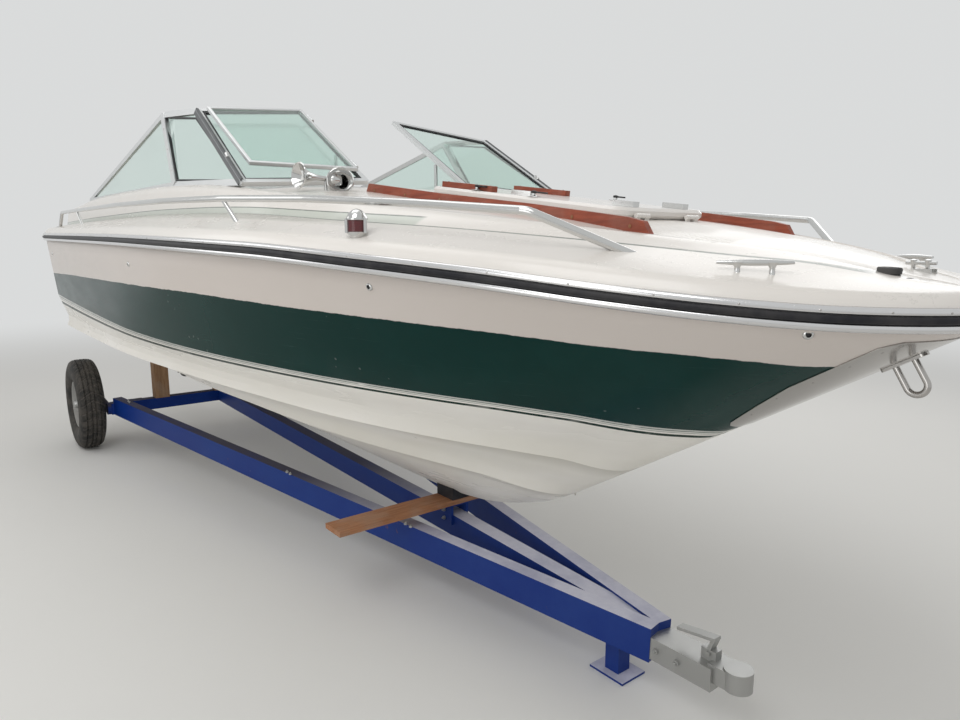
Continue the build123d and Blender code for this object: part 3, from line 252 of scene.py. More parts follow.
class Paint(Nodes):
    """A material being mixed: its nodes and its shader."""

    def __init__(self, name: str, constants: dict[str, float | Colour]) -> None:
        """Starts a material.

        Args:
            name: the material's name.
            constants: what stays the same all over it, by the shader's own labels.
        """
        self.material = bpy.data.materials.new(name)
        self.material.use_nodes = True
        super().__init__(self.material.node_tree)
        self.shader = self.tree.nodes["Principled BSDF"]
        self.normal: NodeSocket | None = None
        for label, value in constants.items():
            self.feed(self.shader.inputs[label], value)

    def place(self) -> tuple[Field, Field, Field]:
        """X, y and z on the whole object, in metres.

        Returns:
            The three numbers.
        """
        spot = self.node("ShaderNodeTexCoord").outputs["Object"]
        split = self.node("ShaderNodeSeparateXYZ", sockets={0: spot})
        return tuple(Field(self, out) for out in split.outputs)

    def mark(self, name: str) -> Field:
        """A number that the mesh itself carries, by its name."""
        return Field(self, self.node("ShaderNodeAttribute", {"attribute_name": name}).outputs["Fac"])

    def upward(self) -> Field:
        """1 where the surface faces up, -1 where it faces down."""
        normal = self.node("ShaderNodeNewGeometry").outputs["Normal"]
        return Field(self, self.node("ShaderNodeSeparateXYZ", sockets={0: normal}).outputs[2])

    def stretched(self, stretch: Triple, shift: float = 0.0) -> NodeSocket:
        """Place on the object with each axis scaled.

        Args:
            stretch: factor along each axis.
            shift: how far to slide the pattern.

        Returns:
            The vector's socket.
        """
        spot = self.node("ShaderNodeTexCoord").outputs["Object"]
        scaled = self.node("ShaderNodeVectorMath", {"operation": "MULTIPLY_ADD"},
                           {0: spot, 1: stretch, 2: (shift, shift * 0.7, shift * 1.3)})
        return scaled.outputs[0]

    def noise(self, scale: float, detail: float = 3.0, rough: float = 0.5, stretch: Triple = (1.0, 1.0, 1.0),
              shift: float = 0.0) -> Field:
        """Cloudy noise.

        Args:
            scale: clouds to the metre.
            detail: how many finer layers.
            rough: how strong they are.
            stretch: factor along each axis.
            shift: how far to slide the pattern.

        Returns:
            The noise, from 0 to 1.
        """
        sockets = {"Vector": self.stretched(stretch, shift), "Scale": scale, "Detail": detail,
                   "Roughness": rough}
        return Field(self, self.node("ShaderNodeTexNoise", sockets=sockets).outputs[0])

    def cells(self, scale: float, random: float = 1.0, stretch: Triple = (1.0, 1.0, 1.0)) -> Field:
        """Distance to the nearest of many points.

        Args:
            scale: points to the metre.
            random: 0 for a plain grid, 1 for no order.
            stretch: factor along each axis.

        Returns:
            The distance.
        """
        sockets = {"Vector": self.stretched(stretch), "Scale": scale, "Randomness": random}
        return Field(self, self.node("ShaderNodeTexVoronoi", sockets=sockets).outputs["Distance"])

    def relief(self, height: Field, distance: float, strength: float = 1.0) -> None:
        """Adds a bump to the surface.

        Args:
            height: the relief, from 0 to 1.
            distance: its depth in metres.
            strength: how much of it counts.
        """
        sockets = {"Height": height, "Distance": distance, "Strength": strength}
        if self.normal:
            sockets["Normal"] = self.normal
        self.normal = self.node("ShaderNodeBump", sockets=sockets).outputs[0]

    def done(self, colour: Tint | Colour, rough: Field | float,
             metal: Field | float = 0.0) -> Material:
        """Links the finished colour, roughness and relief to the shader.

        Args:
            colour: base colour.
            rough: roughness.
            metal: metallic share.

        Returns:
            The material.
        """
        results = {"Base Color": colour, "Roughness": rough, "Metallic": metal}
        if self.normal:
            results["Normal"] = self.normal
        for label, value in results.items():
            self.feed(self.shader.inputs[label], value)
        return self.material


# Finishes


MIXED: dict[str, Material] = {}


@dataclass(frozen=True)
class Finish:
    """A finish of the object, by its name."""

    name: str

    def material(self) -> Material:
        """The material, mixed on first use.

        Returns:
            The material.
        """
        if self.name not in MIXED:
            MIXED[self.name] = self.mix()
        return MIXED[self.name]

    def mix(self) -> Material:
        """Mixes the material."""
        raise NotImplementedError


@dataclass(frozen=True)
class Gelcoat(Finish):
    """Gloss moulded glass fibre, a little chalky and smeared with dust."""

    colour: Colour = (0.8, 0.785, 0.755)
    gloss: float = 0.16
    dust: float = 0.25

    def coat(self, paint: Paint, colour: Tint) -> tuple[Tint, Field]:
        """Lays dust and smears over a colour.

        Args:
            paint: the material being mixed.
            colour: the clean colour.

        Returns:
            The dusty colour and the roughness.
        """
        cloud = paint.noise(2.3, 5.0, 0.6)
        speck = paint.noise(160.0, 2.0, 0.7)
        smear = paint.noise(5.0, 4.0, 0.6, (0.6, 0.6, 3.0), 4.0)
        lying = paint.upward().above(0.75, 0.25)
        dust = (cloud.above(0.5, 0.2) * 0.35 + lying * 0.3 + speck.above(0.68, 0.06) * 0.3) * self.dust
        colour = colour.under((0.52, 0.47, 0.4), dust)
        paint.relief(paint.noise(34.0, 2.0), 0.0006, 0.12)
        return colour, self.gloss + 0.14 * smear + 0.3 * dust

    def mix(self) -> Material:
        """Mixes plain gelcoat."""
        paint = Paint(self.name, {"Coat Weight": 0.35, "Coat Roughness": 0.08, "IOR": 1.5})
        return paint.done(*self.coat(paint, Tint(paint, self.colour)))


@dataclass(frozen=True)
class HullGelcoat(Gelcoat):
    """Hull gelcoat: white, with a dark green band, thin lines and one thick line, chipped and stained; its
    bottom is painted paler as light from the floor, and its downward faces and the panels under its ridges
    carry painted shade.
    """

    green: Colour = (0.001, 0.028, 0.024)
    # paler white below the knuckle: painted light from the floor on the bottom
    floor_lit_bottom: Colour = (0.92, 0.9, 0.86)
    line: Colour = (0.008, 0.03, 0.02)
    silver: Colour = (0.5, 0.52, 0.5)
    grey_line: Colour = (0.12, 0.16, 0.14)
    pale_line: Colour = (0.2, 0.24, 0.22)
    stain: Colour = (0.56, 0.53, 0.38)

    def mix(self) -> Material:
        """Mixes the banded gelcoat.

        Returns:
            The material.
        """
        paint = Paint(self.name, {"Specular IOR Level": 0.15, "IOR": 1.32})
        under = paint.mark("under_knuckle")
        over = paint.mark("over_band")
        ragged = (paint.noise(95.0, 3.0, 0.7, (0.35, 0.35, 1.0)) - 0.5) * 0.006
        worn = (paint.noise(9.0, 2.0) - 0.5) * 0.005
        _, _, z = paint.place()
        # the white turns paler below the knuckle, as painted light from the floor
        white = Tint(paint, self.colour).under(self.floor_lit_bottom, under.above(0.0, 0.01))
        film = paint.noise(2.0, 4.0, 0.6, (0.4, 0.5, 1.6)).above(0.45, 0.22) * z.below(0.98, 0.16)
        white = white.under(self.stain, film * 0.22)
        grime = paint.noise(1.6, 3.0, 0.55, (0.4, 1.0, 2.0), 7.0).above(0.52, 0.2) * z.below(1.1, 0.1)
        white = white.under((0.5, 0.48, 0.42), grime * 0.15)
        # painted shade: faces that point straight down, the flats under the chine and the strake, are
        # darkened
        step = paint.upward().below(-0.965, 0.02)
        white = white.under((0.3, 0.29, 0.24), step * (0.45 + 0.3 * film))
        # painted shade: a darker band on each panel just under the ridge above it
        ridge = paint.mark("off_ridge")
        white = white.under((0.4, 0.38, 0.33), ridge.below(0.055, 0.052) * 0.42)
        band = (over + ragged + worn).below(0.0, 0.0012) * under.below(0.0, 0.01)
        scratch = paint.noise(4.0, 6.0, 0.75, (0.8, 0.8, 26.0), 3.0).above(0.66, 0.05)
        bloom = paint.noise(3.0, 4.0, 0.6, shift=2.0).above(0.55, 0.2)
        green = Tint(paint, self.green).under((0.006, 0.05, 0.044), bloom * 0.3)
        green = green.under((0.05, 0.11, 0.1), scratch * 0.22)
        dusty, rough = self.coat(paint, white)
        colour = dusty.under(green, band)
        faded = paint.noise(14.0, 3.0, 0.6, (0.3, 1.0, 1.0), 5.0).above(0.36, 0.1)
        for tone, start, end, always, patchy in (
                (self.silver, 0.02, 0.2, 0.8, 0.0), (self.grey_line, 0.2, 0.32, 0.0, 1.0),
                (self.silver, 0.36, 0.52, 0.6, 0.0), (self.pale_line, 0.52, 0.6, 0.0, 0.8),
                (self.line, 0.82, 1.2, 0.75, 0.25)):
            colour = colour.under(tone, under.within(start, end, 0.02) * (always + patchy * faded))
        chip = paint.cells(26.0).below(0.11, 0.03) * paint.noise(2.0).above(0.6, 0.03) * band
        colour = colour.under((0.55, 0.56, 0.54), chip * 0.2)
        return paint.done(colour, rough + film * 0.2 + chip * 0.2)


@dataclass(frozen=True)
class DeckGelcoat(Gelcoat):
    """Deck gelcoat: white, with a pale green stripe between two thin dark lines, and raised dots."""

    stripe: Colour = (0.42, 0.5, 0.43)
    line: Colour = (0.09, 0.13, 0.11)

    def mix(self) -> Material:
        """Mixes the striped gelcoat.

        Returns:
            The material.
        """
        paint = Paint(self.name, {"Coat Weight": 0.2, "Coat Roughness": 0.08, "IOR": 1.5})
        rise = paint.mark("over_crease")
        tread = paint.mark("tread")
        x, _, _ = paint.place()
        colour = Tint(paint, self.colour)
        aft = x.below(1.97, 0.01)
        shade = paint.noise(40.0, 2.0).above(0.3, 0.2) * 0.3 + 0.6
        colour = colour.under(self.stripe, rise.within(0.001, 0.023, 0.0015) * aft * 0.62)
        low_line = rise.within(-0.0022, 0.0016, 0.0008) * x.below(2.97, 0.02)
        colour = colour.under(self.line, low_line * shade)
        colour = colour.under(self.line, rise.within(0.0225, 0.026, 0.0008) * aft * shade)
        crack = paint.noise(7.0, 6.0, 0.7, shift=9.0).within(0.497, 0.503, 0.002)
        colour = colour.under((0.3, 0.28, 0.25), crack * paint.noise(1.3).above(0.56, 0.04) * 0.3)
        dots = paint.cells(62.0, 0.0, (1.0, 1.0, 0.0)).below(0.3, 0.1) * tread
        colour = colour.under((0.58, 0.55, 0.5), (1 - dots) * tread * 0.18)
        colour, rough = self.coat(paint, colour)
        paint.relief(dots, 0.0012, 0.9)
        return paint.done(colour, rough + tread * 0.12)


@dataclass(frozen=True)
class Metal(Finish):
    """Bare or plated metal, with smears, fine scratches and pits."""

    colour: Colour = (0.78, 0.78, 0.77)
    rough: float = 0.12
    pits: float = 0.3
    scratches: float = 0.2

    def mix(self) -> Material:
        """Mixes the metal.

        Returns:
            The material.
        """
        paint = Paint(self.name, {"IOR": 2.2})
        cloud = paint.noise(14.0, 4.0, 0.6)
        fine = paint.noise(220.0, 3.0, 0.7, (0.15, 1.0, 1.0))
        pit = paint.noise(85.0, 3.0, 0.8).above(0.69, 0.04) * paint.noise(6.0).above(0.5, 0.08) * self.pits
        colour = Tint(paint, self.colour).under((0.3, 0.27, 0.24), pit).under((0.5, 0.5, 0.49), cloud * 0.25)
        paint.relief(1 - pit, 0.0005, 0.6)
        paint.relief(fine, 0.0002, self.scratches)
        return paint.done(colour, self.rough + cloud * 0.12 + pit * 0.4, 1 - pit * 0.6)


@dataclass(frozen=True)
class PaintedSteel(Finish):
    """Brushed-on paint over steel: dusty on top, scuffed and rusty at its scars; on the blue paint the dust
    aft is so dark that it is painted shade under the hull.
    """

    colour: Colour = (0.002, 0.026, 0.2)
    dust: float = 0.95
    scars: float = 0.6
    gloss: float = 0.36
    faded: Colour = (0.006, 0.05, 0.26)
    # colour of the dust aft; the blue paint's default is near black, painted shade under the hull
    film: Colour = (0.075, 0.065, 0.065)
    pale_film: Colour = (0.72, 0.72, 0.8)

    def mix(self) -> Material:
        """Mixes the paint with its dust and scars.

        Returns:
            The material.
        """
        paint = Paint(self.name, {"Specular IOR Level": 0.18})
        cloud = paint.noise(3.0, 5.0, 0.65)
        brush = paint.noise(30.0, 4.0, 0.6, (0.15, 1.0, 1.0))
        faded = Tint(paint, self.colour).under(self.faded, cloud.above(0.5, 0.25) * 0.5)
        scar = paint.noise(24.0, 5.0, 0.75, shift=2.0).above(0.715, 0.015) * self.scars
        rust = paint.noise(11.0, 5.0, 0.7, shift=6.0).above(0.7, 0.03) * self.scars
        lying = paint.upward().above(0.45, 0.3)
        grit = paint.noise(46.0, 4.0, 0.75)
        settled = lying * (0.62 + 0.38 * cloud.above(0.42, 0.2)) * (0.75 + 0.25 * grit)
        dust = (settled + 0.03 * cloud) * self.dust
        colour = faded.under((0.2, 0.09, 0.04), rust * 0.8).under((0.42, 0.42, 0.41), scar * 0.8)
        x, _, _ = paint.place()
        # dust is dark aft and pale towards the nose; on the blue paint the dark aft dust is painted shade
        # under the hull
        colour = colour.under(Tint(paint, self.film).under(self.pale_film, x.above(0.9, 0.65)), dust)
        paint.relief(brush, 0.0006, 0.25)
        paint.relief(1 - scar, 0.0004, 0.8)
        return paint.done(colour, self.gloss + 0.45 * dust + 0.25 * rust + 0.1 * brush)


@dataclass(frozen=True)
class Timber(Finish):
    """Sawn or oiled wood with grain along one axis."""

    light: Colour = (0.3, 0.12, 0.055)
    dark: Colour = (0.12, 0.04, 0.02)
    along: Triple = (1.0, 12.0, 12.0)
    rough: float = 0.5
    wear: float = 0.3

    def mix(self) -> Material:
        """Mixes the wood.

        Returns:
            The material.
        """
        paint = Paint(self.name, {"Specular IOR Level": 0.35})
        grain = paint.noise(7.0, 6.0, 0.65, self.along)
        fibre = paint.noise(42.0, 3.0, 0.7, self.along, 3.0)
        pores = paint.noise(90.0, 2.0, 0.6, self.along, 5.0).above(0.62, 0.05)
        worn = paint.noise(9.0, 4.0, 0.6, shift=8.0).above(0.55, 0.12) * self.wear
        colour = Tint(paint, self.light).under(self.dark, grain.above(0.5, 0.18) * 0.65)
        colour = colour.under(self.dark, pores * 0.4).under((0.4, 0.34, 0.28), worn * fibre)
        paint.relief(grain * 0.5 + fibre * 0.5, 0.0008, 0.6)
        return paint.done(colour, self.rough + 0.15 * fibre + worn * 0.2)


@dataclass(frozen=True)
class Rubber(Finish):
    """Rubber or soft black plastic, greyed by dust and handling."""

    colour: Colour = (0.018, 0.018, 0.02)
    dust: float = 0.3
    rough: float = 0.45

    def mix(self) -> Material:
        """Mixes the rubber.

        Returns:
            The material.
        """
        paint = Paint(self.name, {"Specular IOR Level": 0.25})
        cloud = paint.noise(9.0, 5.0, 0.65)
        speck = paint.noise(240.0, 2.0)
        colour = Tint(paint, self.colour).under((0.2, 0.19, 0.18), cloud.above(0.5, 0.15) * self.dust)
        paint.relief(speck, 0.0003, 0.3)
        return paint.done(colour, self.rough + 0.2 * cloud)


@dataclass(frozen=True)
class TyreRubber(Finish):
    """Worn tyre rubber with blocks across its tread and dust in its grooves."""

    axle_x: float = -2.15
    wheel_y: float = 0.923
    wheel_z: float = 0.327

    def mix(self) -> Material:
        """Mixes the tyre.

        Returns:
            The material.
        """
        paint = Paint(self.name, {"Specular IOR Level": 0.3})
        x, y, z = paint.place()
        up = z - self.wheel_z
        fore = x - self.axle_x
        turn = up.maths("ARCTAN2", up, fore)
        out = (up * up + fore * fore) ** 0.5
        crown = out.above(0.302, 0.004)
        across = abs(abs(y) - self.wheel_y)
        cut = (turn * 34.0 + across * 60.0).sine().above(0.78, 0.15) * crown
        rings = (out * 700.0).sine().above(0.6, 0.3) * out.within(0.24, 0.29, 0.01)
        cloud = paint.noise(14.0, 5.0, 0.7)
        colour = Tint(paint, (0.022, 0.022, 0.021)).under((0.16, 0.14, 0.12), cloud.above(0.5, 0.14) * 0.4)
        colour = colour.under((0.1, 0.09, 0.08), cut * 0.5)
        paint.relief(1 - cut, 0.005, 1.0)
        paint.relief(rings, 0.0012, 0.6)
        return paint.done(colour, 0.62 + 0.2 * cloud)


@dataclass(frozen=True)
class Vinyl(Finish):
    """Soft upholstery vinyl with a fine grain and soft dirt."""

    colour: Colour = (0.66, 0.62, 0.52)
    rough: float = 0.42

    def mix(self) -> Material:
        """Mixes the vinyl.

        Returns:
            The material.
        """
        paint = Paint(self.name, {"Sheen Weight": 0.12, "Specular IOR Level": 0.45})
        grain = paint.cells(420.0)
        cloud = paint.noise(4.0, 5.0, 0.6)
        colour = Tint(paint, self.colour).under((0.38, 0.33, 0.25), cloud.above(0.52, 0.2) * 0.25)
        paint.relief(grain, 0.0006, 0.5)
        paint.relief(paint.noise(16.0, 3.0), 0.004, 0.12)
        return paint.done(colour, self.rough + 0.15 * cloud)


@dataclass(frozen=True)
class Glazing(Finish):
    """Clear safety glass with a green tint, dust and wiped smears."""

    colour: Colour = (0.78, 0.92, 0.87)

    def mix(self) -> Material:
        """Mixes the glass.

        Returns:
            The material.
        """
        paint = Paint(self.name, {"Transmission Weight": 0.97, "IOR": 1.45})
        smear = paint.noise(3.5, 5.0, 0.65, (0.6, 0.6, 2.6)).above(0.54, 0.12)
        dust = paint.noise(120.0, 3.0, 0.8).above(0.66, 0.08)
        colour = Tint(paint, self.colour).under((0.7, 0.78, 0.74), dust * 0.25)
        return paint.done(colour, 0.015 + smear * 0.05 + dust * 0.1)


@dataclass(frozen=True)
class Lens(Finish):
    """Coloured lamp glass with moulded ribs."""

    colour: Colour = (0.16, 0.006, 0.012)

    def mix(self) -> Material:
        """Mixes the lens.

        Returns:
            The material.
        """
        paint = Paint(self.name, {"Transmission Weight": 0.35, "IOR": 1.49, "Coat Weight": 0.5})
        _, _, z = paint.place()
        paint.relief((z * 1500.0).sine() * 0.5 + 0.5, 0.0007, 0.5)
        cloud = paint.noise(40.0, 3.0)
        colour = Tint(paint, self.colour).under((0.05, 0.002, 0.004), cloud * 0.5)
        return paint.done(colour, 0.08 + cloud * 0.1)


# the hull's white is darker than the deck's, as painted shade on its topsides; its bottom colour is painted
# paler
HULL_WHITE = HullGelcoat("hull_gelcoat", (0.66, 0.605, 0.565), gloss=0.13, dust=0.16)
DECK_WHITE = DeckGelcoat("deck_gelcoat", colour=(0.82, 0.79, 0.75))
HATCH_WHITE = Gelcoat("hatch_gelcoat", (0.83, 0.805, 0.775))
LINER_CREAM = Gelcoat("liner_gelcoat", (0.7, 0.67, 0.6), 0.34, 0.4)
RAIL_CHROME = Metal("rail_chrome", (0.74, 0.735, 0.74), 0.14, 0.5, 0.3)
CHROME = Metal("bright_chrome", (0.62, 0.62, 0.61), 0.05, 0.3, 0.05)
STAINLESS = Metal("polished_stainless", (0.46, 0.44, 0.42), 0.12, 0.3, 0.25)
TUBE_STEEL = Metal("rail_stainless", (0.66, 0.66, 0.65), 0.1, 0.3, 0.25)
FRAME_GREY = Metal("anodised_frame", (0.66, 0.67, 0.67), 0.34, 0.35, 0.4)
FRAME_DARK = Metal("dark_frame", (0.07, 0.075, 0.08), 0.36, 0.2, 0.4)
ZINC = Metal("galvanised_steel", (0.42, 0.42, 0.41), 0.42, 0.9, 0.6)
GLASS = Glazing("green_glass")
TEAK = Timber("oiled_teak", (0.36, 0.085, 0.045), (0.16, 0.035, 0.02), (1.0, 14.0, 14.0), 0.42, 0.25)
DOOR_WOOD = Timber("door_ply", (0.34, 0.16, 0.07), (0.16, 0.07, 0.03), (10.0, 10.0, 1.0), 0.28, 0.1)
PLANK_WOOD = Timber("bare_plank", (0.42, 0.2, 0.1), (0.24, 0.1, 0.045), (10.0, 1.0, 12.0), 0.72, 0.5)
CHOCK_WOOD = Timber("bare_chock", (0.4, 0.24, 0.13), (0.2, 0.11, 0.06), (10.0, 10.0, 1.0), 0.75, 0.6)
BLACK_RUBBER = Rubber("black_rubber", (0.012, 0.012, 0.016), 0.14, 0.36)
BLACK_PLASTIC = Rubber("black_plastic", (0.02, 0.02, 0.022), 0.35, 0.38)
SEAM_DARK = Rubber("dark_seam", (0.03, 0.035, 0.032), 0.2, 0.6)
VINYL = Vinyl("cream_vinyl")
WELT = Vinyl("green_welt", (0.02, 0.07, 0.055), 0.36)
RED_LENS = Lens("red_lens")
TAIL_LENS = Lens("tail_lens", (0.5, 0.04, 0.05))
BLUE = PaintedSteel("blue_paint")
RIM_SILVER = PaintedSteel("rim_paint", (0.42, 0.42, 0.41), 0.4, 0.8, 0.4, (0.36, 0.35, 0.33),
                          (0.25, 0.22, 0.18))
DRIVE_GREY = PaintedSteel("drive_paint", (0.035, 0.038, 0.04), 0.35, 0.5, 0.3, (0.07, 0.075, 0.08),
                          (0.2, 0.19, 0.17))
ENGINE_GREY = PaintedSteel("engine_paint", (0.06, 0.075, 0.08), 0.6, 0.7, 0.45, (0.09, 0.1, 0.105),
                           (0.22, 0.2, 0.17))
SCREW_ALLOY = Metal("propeller_alloy", (0.2, 0.2, 0.2), 0.35, 0.6, 0.5)
TYRE = TyreRubber("worn_tyre")


# Mesh making


def read(table: Table, x: float) -> float:
    """Reads a smooth line through the rows of a short table.

    Args:
        table: rows of place and value, in order.
        x: the place.

    Returns:
        The value there.
    """
    if x <= table[0][0]:
        return table[0][1]
    if x >= table[-1][0]:
        return table[-1][1]
    low = max(k for k in range(len(table) - 1) if table[k][0] <= x)

    def chord(k: int) -> float:
        """Slope from one row to the next."""
        k = min(max(k, 0), len(table) - 2)
        return (table[k + 1][1] - table[k][1]) / (table[k + 1][0] - table[k][0])

    def slope(k: int) -> float:
        """Slope of the line at a row."""
        before, after = chord(k - 1), chord(k)
        return 2 * before * after / (before + after) if before * after > 0 else 0.0

    (x0, v0), (x1, v1) = table[low], table[low + 1]
    span = x1 - x0
    t = (x - x0) / span
    return (v0 * (2 * t ** 3 - 3 * t ** 2 + 1) + v1 * (3 * t ** 2 - 2 * t ** 3)
            + slope(low) * span * (t ** 3 - 2 * t ** 2 + t) + slope(low + 1) * span * (t ** 3 - t ** 2))


def turned(axis: Vector) -> Matrix:
    """Rotation that takes Z to an axis."""
    return UP.rotation_difference(axis).to_matrix()


def mm(*points: Pair) -> list[Pair]:
    """A profile given in millimetres, in metres."""
    return [(along * 0.001, out * 0.001) for along, out in points]


def circle(k: int, sides: int, radius: float = 1.0) -> Pair:
    """Point number k of a regular polygon."""
    angle = 2 * pi * k / sides
    return radius * cos(angle), radius * sin(angle)


def placed(name: str, data: ID) -> Object:
    """Puts a new object into the scene.

    Args:
        name: its name.
        data: its mesh, lamp or camera.

    Returns:
        The object.
    """
    made = bpy.data.objects.new(name, data)
    bpy.context.scene.collection.objects.link(made)
    return made


class Form:
    """A mesh under construction, in the object's own frame."""

    def __init__(self) -> None:
        """Starts empty."""
        self.mesh = bmesh.new()
        self.marks: dict[str, list[float]] = {}

    def grid(self, rows: Sequence[Sequence[Vector]], loop: bool = False, joined: bool = False,
             keep: Callable[[Vector], bool] | None = None) -> list[list[bmesh.types.BMVert]]:
        """Skins rows of points.

        Args:
            rows: rows of the same length.
            loop: whether each row closes on itself.
            joined: whether the last row joins the first.
            keep: says whether a face with this middle stays.

        Returns:
            The vertices, row by row.
        """
        made = [[self.mesh.verts.new(point) for point in row] for row in rows]
        wide = len(made[0])
        for first, second in zip(made, made[1:] + made[:1] if joined else made[1:]):
            for k in range(wide if loop else wide - 1):
                corners = (first[k], first[(k + 1) % wide], second[(k + 1) % wide], second[k])
                middle = sum((corner.co for corner in corners), Vector()) / 4
                if keep is None or keep(middle):
                    self.mesh.faces.new(corners)
        return made

    def ladder(self, row: Sequence[bmesh.types.BMVert]) -> None:
        """Closes an end whose row runs from one side to the mirrored other.

        Args:
            row: its vertices.
        """
        count = len(row)
        for k in range(count // 2):
            corners = [row[k], row[k + 1], row[count - 2 - k], row[count - 1 - k]]
            distinct = list(dict.fromkeys(corners))
            if len(distinct) > 2:
                self.mesh.faces.new(distinct)

    def close(self, made: list[list[bmesh.types.BMVert]]) -> None:
        """Closes the first and the last ring, each with one face."""
        self.mesh.faces.new(made[0][::-1])
        self.mesh.faces.new(made[-1])

    def lathe(self, profile: Sequence[Pair], origin: Vector, axis: Vector,
              sides: int = 32) -> None:
        """Turns a profile round an axis.

        Args:
            profile: distances along the axis and out from it.
            origin: the axis's foot.
            axis: its direction.
            sides: faces round it.
        """
        turn = turned(axis.normalized())
        made = self.grid([[origin + turn @ Vector((*circle(k, sides, max(out, 1e-4)), along))
                           for k in range(sides)] for along, out in profile], loop=True)
        if profile[0] == profile[-1]:
            return
        if profile[0][1] > 0:
            self.mesh.faces.new(made[0][::-1])
        if profile[-1][1] > 0:
            self.mesh.faces.new(made[-1])

    def tube(self, path: Sequence[Vector], radius: float, sides: int = 12, closed: bool = False) -> None:
        """Runs a round section along a path.

        Args:
            path: its points.
            radius: the section's radius.
            sides: faces round it.
            closed: whether the path closes on itself.
        """
        count = len(path)
        tangents = []
        for k in range(count):
            before = path[(k - 1) % count] if closed or k else path[k]
            after = path[(k + 1) % count] if closed or k < count - 1 else path[k]
            tangents.append((after - before).normalized())
        side = tangents[0].orthogonal().normalized()
        rings = []
        for point, tangent in zip(path, tangents):
            side = (side - tangent * side.dot(tangent)).normalized()
            over = tangent.cross(side)
            around = [circle(k, sides) for k in range(sides)]
            rings.append([point + radius * (side * across + over * up) for across, up in around])
        made = self.grid(rings, loop=True, joined=closed)
        if not closed:
            self.close(made)

    def slab(self, low: Sequence[float], high: Sequence[float], turn: Matrix | None = None,
             origin: Vector | None = None) -> None:
        """Adds a box.

        Args:
            low: its lowest corner.
            high: its highest corner.
            turn: a rotation of the box about its origin.
            origin: where its zero point goes.
        """
        corners = [Vector(corner) for corner in product(*zip(low, high))]
        if turn is not None:
            corners = [turn @ corner for corner in corners]
        if origin is not None:
            corners = [origin + corner for corner in corners]
        v = [self.mesh.verts.new(corner) for corner in corners]
        for face in ((0, 1, 3, 2), (4, 6, 7, 5), (0, 4, 5, 1), (2, 3, 7, 6), (0, 2, 6, 4), (1, 5, 7, 3)):
            self.mesh.faces.new([v[k] for k in face])

    def beam(self, start: Vector, end: Vector, wide: float, deep: float, normal: Vector) -> None:
        """Adds a square bar whose depth lies along a normal.

        Args:
            start: one end's middle.
            end: the other end's middle.
            wide: breadth across the normal.
            deep: depth along it.
            normal: the normal.
        """
        run = (end - start).normalized()
        across = run.cross(normal).normalized()
        turn = Matrix((run, across, run.cross(across))).transposed()
        self.slab((0, -wide / 2, -deep / 2), ((end - start).length, wide / 2, deep / 2), turn, start)

    def bolt(self, at: Vector, axis: Vector, radius: float) -> None:
        """Adds a domed screw head on a surface."""
        profile = [(0.0, radius), (radius * 0.25, radius), (radius * 0.5, radius * 0.7), (radius * 0.6, 0.0)]
        self.lathe(profile, at, axis, 12)

    def nut(self, at: Vector, axis: Vector, radius: float) -> None:
        """Adds a hexagon nut with its bolt end.

        Args:
            at: the middle of its seat.
            axis: the way that it points.
            radius: its half width.
        """
        self.lathe([(0.0, radius), (radius * 0.9, radius), (radius, radius * 0.9)], at, axis, 6)
        end = [(radius, radius * 0.5), (radius * 1.6, radius * 0.5), (radius * 1.7, radius * 0.4)]
        self.lathe(end, at, axis, 10)

    def build(self, name: str, finish: Finish, body: Body = Body.BOAT, replaces: Iterable[str] = (),
              bevel: float = 0.0, angle: float = 32.0, thick: float = 0.0,
              outward: float = -1.0) -> Object:
        """Makes the object and hangs it on its body.

        Args:
            name: the piece's name.
            finish: its finish.
            body: what it rides on.
            replaces: CAD nodes that it stands for.
            bevel: width of its rounded edges.
            angle: edges sharper than this stay crisp.
            thick: thickness of a skin.
            outward: -1 to thicken inward, 1 outward.

        Returns:
            The object.
        """
        bmesh.ops.recalc_face_normals(self.mesh, faces=self.mesh.faces[:])
        data = bpy.data.meshes.new(name)
        self.mesh.to_mesh(data)
        self.mesh.free()
        for label, values in self.marks.items():
            layer = data.attributes.new(label, "FLOAT", "POINT")
            layer.data.foreach_set("value", values)
        for face in data.polygons:
            face.use_smooth = True
        data.set_sharp_from_angle(angle=radians(angle))
        data.materials.append(finish.material())
        piece = placed(name, data)
        if thick:
            skin = piece.modifiers.new("Wall", "SOLIDIFY")
            skin.thickness = thick
            skin.offset = outward
        if bevel:
            soften(piece, bevel, angle)
        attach(piece, body.value)
        if replaces:
            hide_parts(*replaces)
        return piece


def soften(piece: Object, width: float, angle: float = 32.0) -> None:
    """Rounds a piece's edges.

    Args:
        piece: the object.
        width: width of the rounding.
        angle: edges sharper than this are rounded.
    """
    edge = piece.modifiers.new("Rounding", "BEVEL")
    edge.width = width
    edge.segments = 2
    edge.limit_method = "ANGLE"
    edge.angle_limit = radians(angle)
    edge.harden_normals = True


@dataclass
class Assembly:
    """A sub-assembly of the object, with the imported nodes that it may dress."""

    nodes: dict[str, Object]

    def dress(self, finish: Finish, names: Iterable[str], bevel: float = 0.0) -> None:
        """Gives nodes a finish and rounds their edges.

        Args:
            finish: the finish.
            names: the nodes.
            bevel: width of the rounding, or 0 for none.
        """
        for name in names:
            node = self.nodes[name]
            for slot in node.material_slots:
                slot.material = finish.material()
            if bevel:
                soften(node, bevel, 38.0)
        LOG.info("dressed %s in %s", ", ".join(names), finish.name)

    def make(self) -> None:
        """Builds and dresses the sub-assembly."""
        raise NotImplementedError


# Lines of the boat


TRANSOM = -2.46
STEM = 3.18
ENTRY = 0.28


